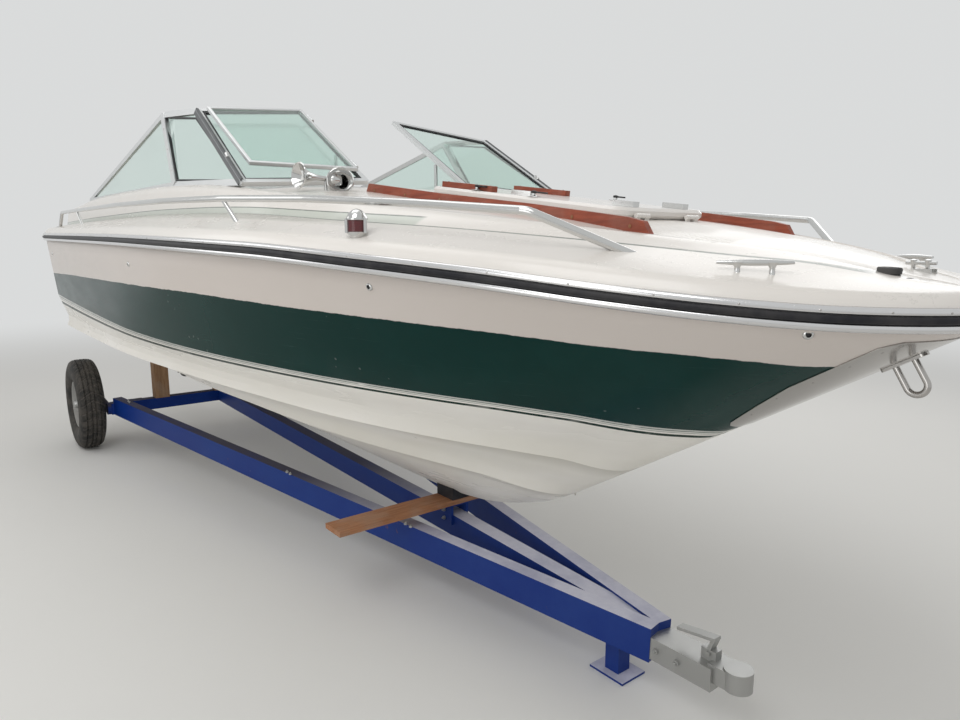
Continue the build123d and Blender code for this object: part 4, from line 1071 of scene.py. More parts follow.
@dataclass(frozen=True)
class HullLine:
    """One long line of the hull: its end on the stem, half breadth, filling out, draw in aft, and heights."""

    tip: float
    half: float
    run: float
    tuck: float
    heights: Table

    def height(self, x: float) -> float:
        """Height at x."""
        return read(self.heights, x)

    def breadth(self, x: float) -> float:
        """Half breadth at x: a quarter ellipse from the stem, less a slight draw in aft.

        Args:
            x: place along.

        Returns:
            The half breadth.
        """
        back = min(max(self.tip - x, 0.0), self.run) / self.run
        aft = min(0.0, x) / TRANSOM
        return max(self.half * sqrt(1 - (1 - back) ** 2) - self.tuck * aft ** 2, 0.004)


SHEER = HullLine(3.18, 1.07, 2.9, 0.04, (
    (-2.46, 1.54), (0.18, 1.508), (1.43, 1.475), (1.99, 1.441), (2.33, 1.414), (2.61, 1.383), (2.83, 1.36),
    (3.01, 1.346), (3.18, 1.34)))
KNUCKLE = HullLine(2.51, 1.032, 2.8, 0.042, (
    (-2.46, 1.12), (-0.18, 1.086), (1.115, 1.07), (1.71, 1.056), (2.075, 1.041), (2.3, 1.018), (2.4, 0.9995),
    (2.45, 0.985), (2.49, 0.963), (2.51, 0.933)))
CHINE = HullLine(2.215, 0.982, 3.0, 0.03, (
    (-2.46, 0.89), (0.09, 0.92), (0.88, 0.906), (1.4, 0.88), (1.92, 0.847), (2.106, 0.818), (2.215, 0.758)))
STRAKE = HullLine(1.95, 0.64, 2.3, 0.01, (
    (-2.46, 0.722), (0.27, 0.738), (0.825, 0.722), (1.37, 0.7), (1.71, 0.672), (1.95, 0.6)))
STEM_FOOT = (1.95, 0.6)
KNUCKLE_FOOT = (2.5, 0.9309)
STEM_HEAD = (3.18, 1.34)
KEEL: Table = ((-2.46, 0.432), (-1.0, 0.404), (0.3, 0.386), (1.1, 0.386), (1.38, 0.408), (1.76, 0.507),
               STEM_FOOT, (2.1, 0.6902), KNUCKLE_FOOT, STEM_HEAD)
KEEL_AT: Table = ((-2.46, -2.35), (-1.3, -1.26), (-0.2, -0.2), (0.28, 0.263), (0.6, 0.555), (0.88, 0.776),
                  (1.15, 0.97), (1.4, 1.118), (1.65, 1.25), (1.87, 1.358), (2.08, 1.455), (2.265, 1.538),
                  (2.44, 1.617), (2.6, 1.69), (2.74, 1.753), (2.86, 1.807), (2.96, 1.852), (3.045, 1.89),
                  (3.11, 1.919), (3.152, 1.938), (3.168, 1.945), (3.18, 1.95))
BAND_TOP: Table = ((-2.63, 1.272), (-1.2, 1.298), (0.71, 1.312), (1.63, 1.293), (2.24, 1.271), (2.53, 1.251),
                   (2.75, 1.236), (2.88, 1.217))
LINE_TOP: Table = ((2.3, 1.018), (2.4, 0.9925), (2.5, 0.9675), (2.56, 0.953))
LINE_DROP: Table = ((-2.46, 0.06), (-1.3, 0.052), (0.29, 0.036), (1.1, 0.03), (1.7, 0.026),
                    (2.35, 0.0245), (2.5, 0.026))


def stations() -> list[float]:
    """Places along the sheer, closer together where the bow closes in.

    Returns:
        The places, from the transom to the stem.
    """
    aft = [TRANSOM + (ENTRY - TRANSOM) * k / 26 for k in range(26)]
    fore = [STEM - (STEM - ENTRY) * (1 - cos(radians(90 - 88.8 * k / 64))) for k in range(65)]
    return aft + fore + [STEM]


def flipped(points: Iterable[Vector], sign: float = -1) -> Ring:
    """The same points on the side of the boat with this sign of y."""
    return [Vector((p.x, sign * p.y, p.z)) for p in points]


def mirrored(half: Ring) -> Ring:
    """A whole section from its port half, whose last point is on the centre plane."""
    return half + flipped(half[-2::-1])


@dataclass
class Hull(Assembly):
    """The hull skin, its stem guard, and the fittings through it."""

    wall: float = 0.02
    chine_flat: float = 0.042
    strake_flat: float = 0.03
    hollow: float = 0.026
    hollow_shares: Table = ((0.4, 0.5), (0.7, 1.0), (0.86, 0.72))
    fade: float = 0.9
    tucks: tuple[int, int] = (9, 14)
    guard_thick: float = 0.003
    guard_aft: float = 2.2
    guard_edge: Table = ((0.108, 0.0), (0.113, 0.009), (0.13, 0.0145), (0.25, 0.0245), (0.37, 0.0325),
                         (0.61, 0.0315), (0.653, 0.023), (0.69, 0.0))
    guard_screws: tuple[float, ...] = (0.2, 0.31, 0.42, 0.52, 0.6)
    outlets: Table = ((-2.235, 0.117), (0.192, 0.105), (1.951, 0.065), (2.932, 0.043))
    eye_at: Vector = Vector((-2.4455, 0.78, 1.36))
    drain_at: Vector = Vector((-2.36, 0.0, 0.5))

    def crossing(self, line: HullLine, low: Pair, high: Pair) -> float:
        """Finds where a line passes through a section that leans with the stem.

        Args:
            line: the line.
            low: x and z of the section at the keel.
            high: x and z of it at the sheer.

        Returns:
            The x of the crossing.
        """

        def gap(x: float) -> float:
            """Distance ahead of the section."""
            return x - low[0] - (high[0] - low[0]) * (line.height(x) - low[1]) / (high[1] - low[1])

        near, far = -2.7, line.tip
        if gap(far) < 0:
            return far
        for _ in range(30):
            mid = (near + far) / 2
            near, far = (mid, far) if gap(mid) < 0 else (near, mid)
        return (near + far) / 2

    def section(self, x_sheer: float) -> tuple[Ring, list[float], list[float], list[float]]:
        """One half section, from the sheer down to the keel.

        Args:
            x_sheer: its x at the sheer.

        Returns:
            The points, the depth of each under the knuckle in line spacings, its height over the green
            band, and its distance under the ridge above it.
        """
        x_keel = read(KEEL_AT, x_sheer)
        low = (x_keel, read(KEEL, x_keel))
        high = (x_sheer, SHEER.height(x_sheer))
        corner = {}
        for line in (KNUCKLE, CHINE, STRAKE):
            x = self.crossing(line, low, high)
            corner[line] = Vector((x, line.breadth(x), line.height(x)))
        top = Vector((x_sheer, SHEER.breadth(x_sheer), high[1]))
        knuckle = corner[KNUCKLE]
        share = 0.5
        for _ in range(3):
            x = knuckle.x + (top.x - knuckle.x) * share
            share = min(max((read(BAND_TOP, x) - knuckle.z) / (top.z - knuckle.z), 0.02), 0.98)
        band = knuckle.lerp(top, share)
        points = [top, top.lerp(band, 0.5), band, band.lerp(knuckle, 0.5), knuckle]
        for line, flat in ((CHINE, self.chine_flat), (STRAKE, self.strake_flat)):
            edge = corner[line]
            start = points[-1]
            inner = edge - Vector((0, max(flat * min(1.0, (line.tip - edge.x) / self.fade), 0.0008), 0))
            inner.y = max(inner.y, 0.002)
            run = edge - start
            depth = self.hollow * min(1.0, run.length / 0.15, start.y / 0.3)
            inward = Vector((0, run.z, -run.y)).normalized() * depth
            points += [start.lerp(edge, t) + inward * share for t, share in self.hollow_shares]
            points += [edge, inner]
        keel = Vector((low[0], 0, low[1]))
        points += [points[-1].lerp(keel, 0.5), keel]
        spacing = read(LINE_DROP, knuckle.x)
        top = read(LINE_TOP, knuckle.x) if knuckle.x > LINE_TOP[0][0] else knuckle.z
        under = [(top - p.z) / spacing for p in points]
        over = [p.z - read(BAND_TOP, p.x) for p in points]
        off = []
        ridge = None
        for k, point in enumerate(points):
            if k in self.tucks:
                ridge = point
            off.append((point - ridge).length if ridge else 1.0)
        return points, under, over, off

    def skin(self) -> None:
        """Builds the hull skin and the guard over its stem."""
        form = Form()
        rows = []
        form.marks = {"under_knuckle": [], "over_band": [], "off_ridge": []}
        for x in stations():
            half, *marks = self.section(x)
            rows.append(mirrored(half))
            for values, mark in zip(form.marks.values(), marks):
                values += mark + mark[-2::-1]
        made = form.grid(rows)
        form.ladder(made[0])
        form.ladder(made[-1])
        form.build("hull_skin", HULL_WHITE, replaces=["hull_shell"], angle=20.0, thick=self.wall)
        self.guard(rows)

    def guard(self, rows: list[Ring]) -> None:
        """Cuts the stem's guard plate from the bow of the hull skin.

        Args:
            rows: the hull's sections.
        """
        form = Form()
        made = form.grid([row for row in rows if row[0].x > self.guard_aft])
        form.ladder(made[-1])
        stem = Vector((STEM_HEAD[0] - STEM_FOOT[0], 0, STEM_HEAD[1] - STEM_FOOT[1])).normalized()
        out = Vector((stem.z, 0, -stem.x))
        foot = Vector((KNUCKLE_FOOT[0], 0, KNUCKLE_FOOT[1]))
        for (along, off), (next_along, next_off) in zip(self.guard_edge, self.guard_edge[1:]):
            point = foot + stem * along - out * off
            normal = (-out * (next_along - along) - stem * (next_off - off)).normalized()
            whole = form.mesh.verts[:] + form.mesh.edges[:] + form.mesh.faces[:]
            bmesh.ops.bisect_plane(form.mesh, geom=whole, plane_co=point, plane_no=normal, clear_outer=True)
        form.build("stem_guard_plate", STAINLESS, replaces=["stem_guard"], bevel=0.001, angle=45.0,
                   thick=self.guard_thick, outward=1.0)
        screws = Form()
        for side, along in product(Side, self.guard_screws):
            at = foot + stem * along - out * (0.012 + 0.01 * (along > 0.3))
            breadth = self.breadth_at(at.x, at.z) + self.guard_thick
            screws.bolt(side.at(at.x, breadth, at.z), side.at(0.25, 1, -0.3), 0.004)
        screws.build("stem_guard_screws", STAINLESS)

    def breadth_at(self, x: float, z: float) -> float:
        """Half breadth of the topsides at a point between the knuckle and the sheer.

        Args:
            x: place along.
            z: height.

        Returns:
            The half breadth.
        """

        def spot(x_sheer: float) -> Vector:
            """The section's point at this height.

            Args:
                x_sheer: the section's x at the sheer.

            Returns:
                The point.
            """
            points = self.section(x_sheer)[0]
            top, knuckle = points[0], points[4]
            return knuckle.lerp(top, (z - knuckle.z) / (top.z - knuckle.z))

        near, far = x, STEM
        for _ in range(24):
            mid = (near + far) / 2
            near, far = (mid, far) if spot(mid).x < x else (near, mid)
        return spot(near).y

    def fittings(self) -> None:
        """Adds the bright outlets through the topsides, with black plugs in their mouths as painted shade,
        and the eyes on the transom.
        """
        form, mouth_shade = Form(), Form()
        for x, drop in self.outlets:
            z = SHEER.height(x) - drop
            for side in Side:
                at = side.at(x, self.breadth_at(x, z) - 0.002, z)
                ahead = self.breadth_at(x + 0.02, z)
                axis = side.at(self.breadth_at(x - 0.02, z) - ahead, 0.04, -0.008).normalized()
                form.lathe(mm((0, 11.5), (3, 11.8), (6, 9.5), (7, 6.2), (-2, 5.5), (-2, 0)), at, axis, 24)
                # black plug filling the outlet's bore: painted shade inside the hole
                mouth_shade.lathe(mm((-1.5, 5.2), (4, 5), (4.2, 0)), at, axis, 16)
        for side in Side:
            base = side.at(*self.eye_at)
            form.slab((-0.006, -0.03, -0.06), (0.004, 0.03, 0.06), None, base)
            turns = [pi * k / 12 for k in range(13)]
            form.tube([base + Vector((-0.006 - 0.045 * sin(a), 0, 0.034 * cos(a))) for a in turns], 0.006)
        form.build("hull_outlets", CHROME, bevel=0.0005, angle=50.0)
        mouth_shade.build("outlet_shade_plugs", BLACK_RUBBER)
        drain = Form()
        drain.lathe(mm((0, 20), (6, 20), (9, 13), (14, 12), (15, 0)), self.drain_at,
                    Vector((-1, 0, -0.1)), 20)
        drain.build("transom_drain", STAINLESS)

    def make(self) -> None:
        """Builds the hull and dresses what belongs to it."""
        self.skin()
        self.fittings()
        self.dress(STAINLESS, ["bow_eye"])


# An opening's two ends and its half breadth
Opening = Triple
# X, then breadth and height of the crease and of the trunk, and height of the crown
DECK: tuple[tuple[float, ...], ...] = (
    (-2.45, 0.88, 1.612, 0.855, 1.728, 1.735), (-1.3, 0.888, 1.618, 0.86, 1.768, 1.776),
    (-0.2, 0.89, 1.616, 0.862, 1.755, 1.763), (0.6, 0.888, 1.604, 0.86, 1.722, 1.748),
    (1.15, 0.872, 1.588, 0.835, 1.672, 1.692), (1.65, 0.795, 1.555, 0.735, 1.612, 1.626),
    (2.08, 0.655, 1.524, 0.582, 1.562, 1.576), (2.44, 0.5, 1.49, 0.42, 1.516, 1.53),
    (2.74, 0.345, 1.456, 0.262, 1.473, 1.481), (2.87, 0.262, 1.441, 0.19, 1.448, 1.452),
    (2.96, 0.19, 1.421, 0.13, 1.423, 1.425), (3.03, 0.15, 1.407, 0.09, 1.407, 1.408),
    (3.11, 0.09, 1.392, 0.05, 1.391, 1.391), (3.168, 0.04, 1.384, 0.02, 1.384, 1.384))


@dataclass
class Deck(Assembly):
    """The deck moulding with its side decks, raised trunk and cut-outs."""

    wall: float = 0.012
    aft: float = -2.45
    edge_in: float = 0.034
    edge: Table = ((-2.45, 0.052), (2.4, 0.052), (2.9, 0.046), (3.18, 0.041))
    columns: Table = ((0.826, 0.9605), (0.6, 0.72), (0.4, 0.52), (0.25, 0.45), (0.17, 0.4), (0.085, 0.2),
                      (0.0, 0.0))
    cockpit: Opening = (-2.26, 0.48, 0.826)
    passage: Opening = (0.48, 0.88, 0.25)
    hatch: Opening = (1.39, 2.23, 0.17)
    tread: Opening = (2.31, 2.66, 0.31)
    locker: Triple = (2.66, 0.09, 0.385)

    def row(self, x: float) -> tuple[float, ...]:
        """Crease breadth and height, trunk breadth and height, and crown height at x.

        Args:
            x: place along.

        Returns:
            The five numbers.
        """
        values = []
        for k in range(1, 6):
            across = k in (1, 3)
            column = tuple((row[0], row[k] / SHEER.breadth(row[0]) if across else row[k]) for row in DECK)
            values.append(read(column, x) * (SHEER.breadth(x) if across else 1.0))
        return tuple(values)

    @staticmethod
    def crown(y: float, trunk_y: float, trunk_z: float, crown_z: float) -> float:
        """Height of the trunk's cambered top at y."""
        return crown_z + (trunk_z - crown_z) * (y / trunk_y) ** 1.4

    def top(self, x: float, y: float) -> float:
        """Height of the deck at a point.

        Args:
            x: place along.
            y: place across.

        Returns:
            The height.
        """
        crease_y, crease_z, trunk_y, trunk_z, crown_z = self.row(x)
        y = abs(y)
        if y <= trunk_y:
            return self.crown(y, trunk_y, trunk_z, crown_z)
        if y <= crease_y:
            return trunk_z + (crease_z - trunk_z) * (y - trunk_y) / (crease_y - trunk_y)
        edge_y = SHEER.breadth(x) - self.edge_in
        edge_z = SHEER.height(x) + read(self.edge, x)
        return crease_z + (edge_z - crease_z) * min((y - crease_y) / (edge_y - crease_y), 1.0)

    def section(self, x: float) -> tuple[Ring, list[float], list[float]]:
        """One half section, from the sheer up and in to the crown.

        Args:
            x: place along.

        Returns:
            The points, the height of each over the crease, and 1 where it has raised dots.
        """
        crease_y, crease_z, trunk_y, trunk_z, crown_z = self.row(x)
        half, sheer_z = SHEER.breadth(x), SHEER.height(x)
        size = min(1.0, half / 0.2)
        flat = []
        for k in range(7):
            angle = radians(15 * k)
            inward = self.edge_in * size * (1 - cos(angle))
            flat.append((half - inward, sheer_z + read(self.edge, x) * sin(angle)))
        edge = flat[-1]
        crease, trunk = (crease_y, crease_z), (trunk_y, trunk_z)
        flat.append(((edge[0] + crease[0]) / 2, (edge[1] + crease[1]) / 2 + 0.004 * size))
        flat.append((crease[0] + 0.004 * size, crease[1] - 0.001))
        flat.append(crease)
        side = Vector((crease[0] - trunk[0], crease[1] - trunk[1]))
        start = Vector(trunk) + side * min(0.028 / max(side.length, 0.001), 0.5)
        inner = trunk_y * 0.96 - 0.004 * size
        end = Vector((inner, self.crown(inner, trunk_y, trunk_z, crown_z)))
        for k in range(6):
            t = k / 5
            point = start * (1 - t) ** 2 + Vector(trunk) * (2 * t * (1 - t)) + end * t ** 2
            flat.append((point.x, point.y))
        for fixed, share in self.columns:
            y = min(fixed, share * trunk_y, inner)
            flat.append((y, self.crown(y, trunk_y, trunk_z, crown_z)))
        points = [Vector((x, y, z)) for y, z in flat]
        rise = [z - crease_z if k >= 9 else -0.5 * abs(y - crease_y) for k, (y, z) in enumerate(flat)]
        tread = [float(self.within(point, self.tread)) for point in points]
        return points, rise, tread

    @staticmethod
    def within(point: Vector, opening: Opening) -> bool:
        """Whether a point lies over an opening."""
        start, end, half = opening
        return start < point.x < end and abs(point.y) < half

    def kept(self, middle: Vector) -> bool:
        """Whether a face stays: not in the cockpit, the passage or the hatch."""
        cut = any(self.within(middle, opening) for opening in (self.cockpit, self.passage, self.hatch))
        return not cut or middle.z < 1.6 and middle.x < 0

    def make(self) -> None:
        """Builds the deck skin and its seams."""
        form = Form()
        rims = [self.aft, self.cockpit[0], *self.passage[:2], *self.hatch[:2]]
        rims += [self.tread[0] + 0.002, self.tread[1] - 0.002]
        places = sorted([x for x in stations() if self.aft - 0.005 < x < DECK[-1][0] + 0.002] + rims)
        places = [x for k, x in enumerate(places) if k == 0 or x - places[k - 1] > 0.004]
        rows, rise, tread = [], [], []
        for x in places:
            half, up, dots = self.section(x)
            rows.append(mirrored(half))
            rise += up + up[-2::-1]
            tread += dots + dots[-2::-1]
        form.marks = {"over_crease": rise, "tread": tread}
        made = form.grid(rows, keep=self.kept)
        form.ladder(made[0])
        form.ladder(made[-1])
        form.build("deck_skin", DECK_WHITE, replaces=["deck"], angle=28.0, thick=self.wall)
        self.seams()

    def seams(self) -> None:
        """Adds the dark seam of the anchor locker's lid and the studs of the cockpit cover."""
        form = Form()
        route = []
        fore, bow, half = self.locker
        for k in range(41):
            y = -half + 2 * half * k / 40
            x = fore - bow * (1 - (abs(y) / half) ** 6)
            route.append(Vector((x, y, self.top(x, y) + 0.0004)))
        form.tube(route, 0.0022, 6)
        form.build("locker_seam", SEAM_DARK)
        studs = Form()
        for side, k in product(Side, range(9)):
            x = -1.55 + 0.29 * k
            crease_y, crease_z, trunk_y, trunk_z, _ = self.row(x)
            at = Vector((x, crease_y, crease_z)).lerp(Vector((x, trunk_y, trunk_z)), 0.78)
            studs.lathe(mm((-2, 8), (3, 8), (4, 5), (8, 5.5), (9.5, 3), (10, 0)), side.at(*at),
                        side.at(0, 1, 0.22), 14)
        studs.build("cover_studs", STAINLESS)


@dataclass
class RubRail(Assembly):
    """The bright moulding along the sheer with its black insert."""

    face: Table = ((0.0005, 0.025), (0.009, 0.0262), (0.0145, 0.0235), (0.0168, 0.0185), (0.0162, 0.0118),
                   (0.0135, 0.009), (0.0105, 0.0086))
    insert: Table = ((0.0095, 0.0088), (0.0165, 0.0078), (0.0195, 0.0048), (0.0207, 0.0))
    screw_out: float = 0.0155
    screw_up: float = 0.0165

    def path(self) -> tuple[Ring, Ring]:
        """Points and outward directions along the sheer, from the starboard quarter round to port.

        Returns:
            The points and the directions.
        """
        side = [Vector((x, -SHEER.breadth(x), SHEER.height(x))) for x in stations()[:-1]]
        points = side + [Vector((STEM_HEAD[0], 0, STEM_HEAD[1]))] + flipped(side[::-1])
        outs = []
        for k in range(len(points)):
            run = points[min(k + 1, len(points) - 1)] - points[max(k - 1, 0)]
            outs.append(Vector((run.y, -run.x, 0)).normalized())
        return points, outs

    def band(self, name: str, profile: Sequence[Pair], finish: Finish, node: str) -> None:
        """Runs a profile along the sheer.

        Args:
            name: the piece's name.
            profile: distances out and up.
            finish: its finish.
            node: the node it stands for.
        """
        form = Form()
        made = form.grid([[p + o * out + UP * up for out, up in profile] for p, o in zip(*self.path())])
        form.close([made[0][::-1], made[-1][::-1]])
        form.build(name, finish, replaces=[node], angle=50.0)

    def make(self) -> None:
        """Builds the moulding, the insert and the screws under it."""
        lower = [(out, -up) for out, up in self.face[::-1]]
        self.band("rub_rail_moulding", [*self.face, (0.0095, 0.0), *lower], RAIL_CHROME, "rub_rail")
        mirror = [(out, -up) for out, up in self.insert[-2::-1]]
        self.band("rub_rail_strip", [*self.insert, *mirror], BLACK_RUBBER, "rub_rail_insert")
        points, outs = self.path()
        form = Form()
        for k in range(3, len(points) - 3, 4):
            if (points[k] - points[k - 1]).length > 0.02:
                at = points[k] + outs[k] * self.screw_out + UP * self.screw_up
                form.bolt(at, outs[k] + UP * 0.5, 0.0032)
        form.build("rub_rail_screws", STAINLESS)


@dataclass
class Windscreen(Assembly):
    """Frames, glass, seals and clamps of the raked windscreen and its open centre door."""

    foot: Vector = Vector((0.985, 0.0, 1.722))
    rake: float = 1.7
    half: float = 0.826
    door_post: Table = ((0.268, 1.752), (0.268, 2.116))
    seal_in: float = 0.0297
    leaf_out: float = 0.04
    leaf_at: Table = ((-0.303, 1.762), (-0.303, 2.074), (-0.77, 2.022), (-0.77, 1.758))
    leaf_rim: Table = ((0.0, -0.0065), (0.0, 0.0065), (0.0025, 0.008), (0.013, 0.008), (0.015, 0.0035),
                       (0.015, -0.0035), (0.013, -0.008), (0.0025, -0.008), (0.0, -0.0065))
    hinges: Pair = (0.12, 0.6)

    def on_screen(self, y: float, z: float) -> Vector:
        """A point of the raked front plane."""
        return Vector((self.foot.x - self.rake * (z - self.foot.z), y, z))

    def panes(self, side: Side) -> list[Ring]:
        """Corner points of the front, side and tail panes on one side.

        Args:
            side: which side of the boat.

        Returns:
            One loop of points for each pane.
        """
        low, high = self.on_screen(self.half - 0.008, 1.716), self.on_screen(self.half - 0.041, 2.05)
        inner_low, inner_high = (self.on_screen(y, z) for y, z in self.door_post)
        post_low = Vector((0.25, self.half + 0.02, 1.752))
        post_high = Vector((0.015, self.half - 0.014, 2.085))
        end = Vector((-1.7, self.half + 0.016, 1.772))
        loops = [[low, high, inner_high, inner_low], [low, high, post_high, post_low],
                 [post_low, post_high, end]]
        return [flipped(loop, side.value) for loop in loops]

    def seals(self) -> None:
        """Adds the dark seals inside the frames and the cover strips of the corner posts."""
        seal, cover, clamp = Form(), Form(), Form()
        for side in Side:
            front, flank, tail = self.panes(side)
            for loop in (front, flank, tail):
                middle = sum(loop, Vector()) / len(loop)
                normal = (loop[1] - loop[0]).cross(loop[2] - loop[0]).normalized()
                inner = [point.lerp(middle, min(self.seal_in / (middle - point).length, 0.2))
                         for point in loop]
                for a, b in zip(inner, inner[1:] + inner[:1]):
                    seal.beam(a, b, 0.006, 0.013, normal)
            low, high = front[:2]
            out = side.at(0.35, 1, 0.1).normalized()
            cover.beam(low + out * 0.009, high + out * 0.009, 0.03, 0.012, out)
            mid = low.lerp(high, 0.3) + Vector((0.016, 0, 0.008)) + out * 0.004
            clamp.beam(mid - UP * 0.012, mid + Vector((-0.016, 0, 0.016)), 0.012, 0.012, out)
            clamp.lathe(mm((0, 6), (10, 6), (12, 4)), mid, out, 16)
            for share in (0.2, 0.5, 0.8):
                at = flank[3].lerp(flank[2], share) + side.at(0, 0.0105, 0)
                clamp.bolt(at, side.at(0, 1, 0.1), 0.0045)
        seal.build("windscreen_seals", BLACK_RUBBER)
        cover.build("corner_covers", FRAME_DARK, bevel=0.002)
        clamp.build("corner_clamps", CHROME, bevel=0.0015)

    def leaf(self) -> None:
        """Builds the centre door, open flat over the starboard front panel, with its hinge knuckles."""
        normal = Vector((1, 0, self.rake)).normalized()
        corners = [self.on_screen(y, z) + normal * self.leaf_out for y, z in self.leaf_at]
        inward = []
        for k, corner in enumerate(corners):
            before = (corners[k - 1] - corner).normalized()
            after = (corners[(k + 1) % 4] - corner).normalized()
            inward.append((before + after) / before.cross(after).length)

        def ring(across: float, deep: float) -> Ring:
            """The outline moved in by a distance and along the normal by another."""
            return [corner + shift * across + normal * deep for corner, shift in zip(corners, inward)]

        frame, pane = Form(), Form()
        frame.grid([ring(across, deep) for across, deep in self.leaf_rim], loop=True)
        bmesh.ops.remove_doubles(frame.mesh, verts=frame.mesh.verts[:], dist=0.0001)
        low, high = (self.on_screen(-y, z) for y, z in self.door_post)
        run = (high - low).normalized()
        toward = normal * 0.014 - Vector((0, 0.03, 0))
        knuckle = mm((-9.4, 4.3), (-9.4, 7), (9.4, 7), (9.4, 4.3), (-9.4, 4.3))
        for along in self.hinges:
            at = low + normal * 0.02 + run * along
            frame.lathe(knuckle, at, run, 20)
            frame.beam(at + toward * 0.2, at + toward, 0.0186, 0.003, toward.cross(run))
        frame.build("windscreen_leaf_frame", FRAME_GREY, Body.SCREEN_DOOR, ["windscreen_door_frame"], 0.001)
        pane.close(pane.grid([ring(0.0135, -0.0025), ring(0.0135, 0.0025)], loop=True))
        pane.build("windscreen_leaf_glass", GLASS, Body.SCREEN_DOOR, ["windscreen_door_glass"], 0.0006)

    def make(self) -> None:
        """Dresses the frames and glass and adds the seals and the door."""
        self.dress(FRAME_GREY, ["windscreen_frame_starboard", "windscreen_frame_port", "windscreen_struts"],
                   0.002)
        self.dress(GLASS, ["windscreen_glass_starboard", "windscreen_glass_port"])
        self.seals()
        self.leaf()


@dataclass
class DeckFittings(Assembly):
    """Rails, cleats, horns, lights, teak and the hatch's own fittings."""

    deck: Deck
    light_at: Pair = (1.905, 0.845)
    light_scale: float = 0.76
    cleat_at: Pair = (2.835, 0.415)
    cleat_run: Pair = (0.79, -0.61)
    vent_at: Pair = (2.985, -0.125)
    fitting_at: Pair = (2.985, 0.045)
    hatch_middle: Vector = Vector((1.81, 0.0, 1.6234))
    hatch_slope: Vector = Vector((0.9924, 0.0, -0.12309))
    latches: tuple[Triple, ...] = ((-0.2, -0.2, 0.0), (0.1, -0.2, 0.25), (0.1, 0.2, -0.25))
    strip_y: float = 0.181
    trumpets: tuple[tuple[Vector, float, Vector], ...] = (
        (Vector((1.2, -0.69, 1.735)), 0.045, Vector((0.13, -0.99, 0.05))),
        (Vector((1.22, -0.535, 1.722)), 0.048, Vector((0.9, -0.43, 0.0))))
    teak_ends: tuple[Vector, Vector] = (Vector((1.21, 0.415)), Vector((2.516, 0.347)))

    def on_deck(self, x: float, y: float) -> Vector:
        """The point of the deck's surface over x and y."""
        return Vector((x, y, self.deck.top(x, y)))

    def horns(self) -> None:
        """Turns the two trumpets on their bracket: one faces forward, one faces outboard."""
        form = Form()
        for spot, mouth, out in self.trumpets:
            aim = out.normalized()
            throat = spot - aim * 0.115
            flare = [(0.115 * t, 0.0095 + (mouth - 0.0095) * t ** 2.8) for t in (k / 14 for k in range(15))]
            lip = [(0.116, mouth + 0.0015), (0.1135, mouth + 0.003)]
            inside = [(along, out - 0.0018) for along, out in reversed(flare)]
            back = mm((-60, 0), (-60, 18), (-57, 23), (-25, 24), (-18, 21), (-13, 11.5), (-4, 10.5))
            form.lathe([*back, *flare[1:-1], *lip, *inside, (0.0, 0.0)], throat, aim, 40)
            foot = self.on_deck(throat.x, throat.y)
            form.tube([foot, Vector((foot.x, foot.y, spot.z - 0.006))], 0.0065)
            form.lathe(mm((0, 20), (3, 20), (7, 10), (10, 8)), foot, UP, 24)
        form.build("horn_trumpets", CHROME, replaces=["horns"], angle=40.0)

    def cleats(self) -> None:
        """Builds the two long-bar cleats on their flared feet."""
        form = Form()
        top = self.deck.top(*self.cleat_at) + 0.036
        for side in Side:

            def along(shift: float) -> Vector:
                """A point on the cleat's own line, which follows the deck's edge."""
                x, y = (start + shift * run for start, run in zip(self.cleat_at, self.cleat_run))
                return side.at(x, y, top)

            for shift in (-0.035, 0.035):
                point = along(shift)
                foot = self.on_deck(point.x, point.y) + UP * 0.0005
                tall = point.z - foot.z
                flare = mm((0, 16), (3, 16), (7, 9.5), (14, 6.2))
                form.lathe([*flare, (tall * 0.7, 0.0058), (tall, 0.0115)], foot, UP, 24)
            start, end = along(-0.078), along(0.078)
            run = end - start
            swell = [0.0035 + 0.0035 * sin(pi * min(k, 16 - k) / 16) for k in range(17)]
            profile = [(run.length * k / 16, out) for k, out in enumerate(swell)]
            form.lathe([(0.0, 0.0), *profile, (run.length, 0.0)], start, run, 16)
        form.build("cleat_bars", TUBE_STEEL, replaces=["deck_cleats"], angle=40.0)

    def bow(self) -> None:
        """Builds the mushroom vent and the double roller at the bow."""
        base = self.on_deck(*self.vent_at) - UP * 0.001
        vent = Form()
        vent.lathe(mm((0, 50), (3, 50.5), (5.5, 47), (7, 30), (8, 22.5), (11, 21.5), (12, 24.5), (23, 25.5),
                      (26, 23.5), (26.5, 19), (24.5, 17), (24.5, 0)), base, Vector((0.04, 0, 1)), 48)
        for k in range(3):
            turn = Matrix.Rotation(2 * pi * k / 3 + 0.4, 3, "Z")
            vent.slab((0.004, -0.003, 0.0245), (0.018, 0.003, 0.0262), turn, base)
        vent.build("mushroom_vent", BLACK_PLASTIC, replaces=["deck_vent"], angle=40.0)
        base = self.on_deck(*self.fitting_at)
        bow = Form()
        bow.slab((-0.035, -0.024, -0.001), (0.035, 0.024, 0.0035), None, base)
        for shift in (-0.017, 0.017):
            bow.slab((-0.03, shift - 0.002, 0.0), (0.03, shift + 0.002, 0.016), None, base)
            bow.lathe(mm((0, 4.5), (22, 4.5), (30, 7), (34, 7), (36, 0)),
                      base + Vector((shift * 0.9, 0, 0.003)), UP, 16)
            bow.bolt(base + Vector((0.029, shift, 0.0035)), UP, 0.0035)
        bow.tube([base + Vector((x, 0, 0.03)) for x in (-0.032, 0.034)], 0.0045)
        bow.build("bow_roller", CHROME, replaces=["bow_fitting"], bevel=0.0006, angle=45.0)

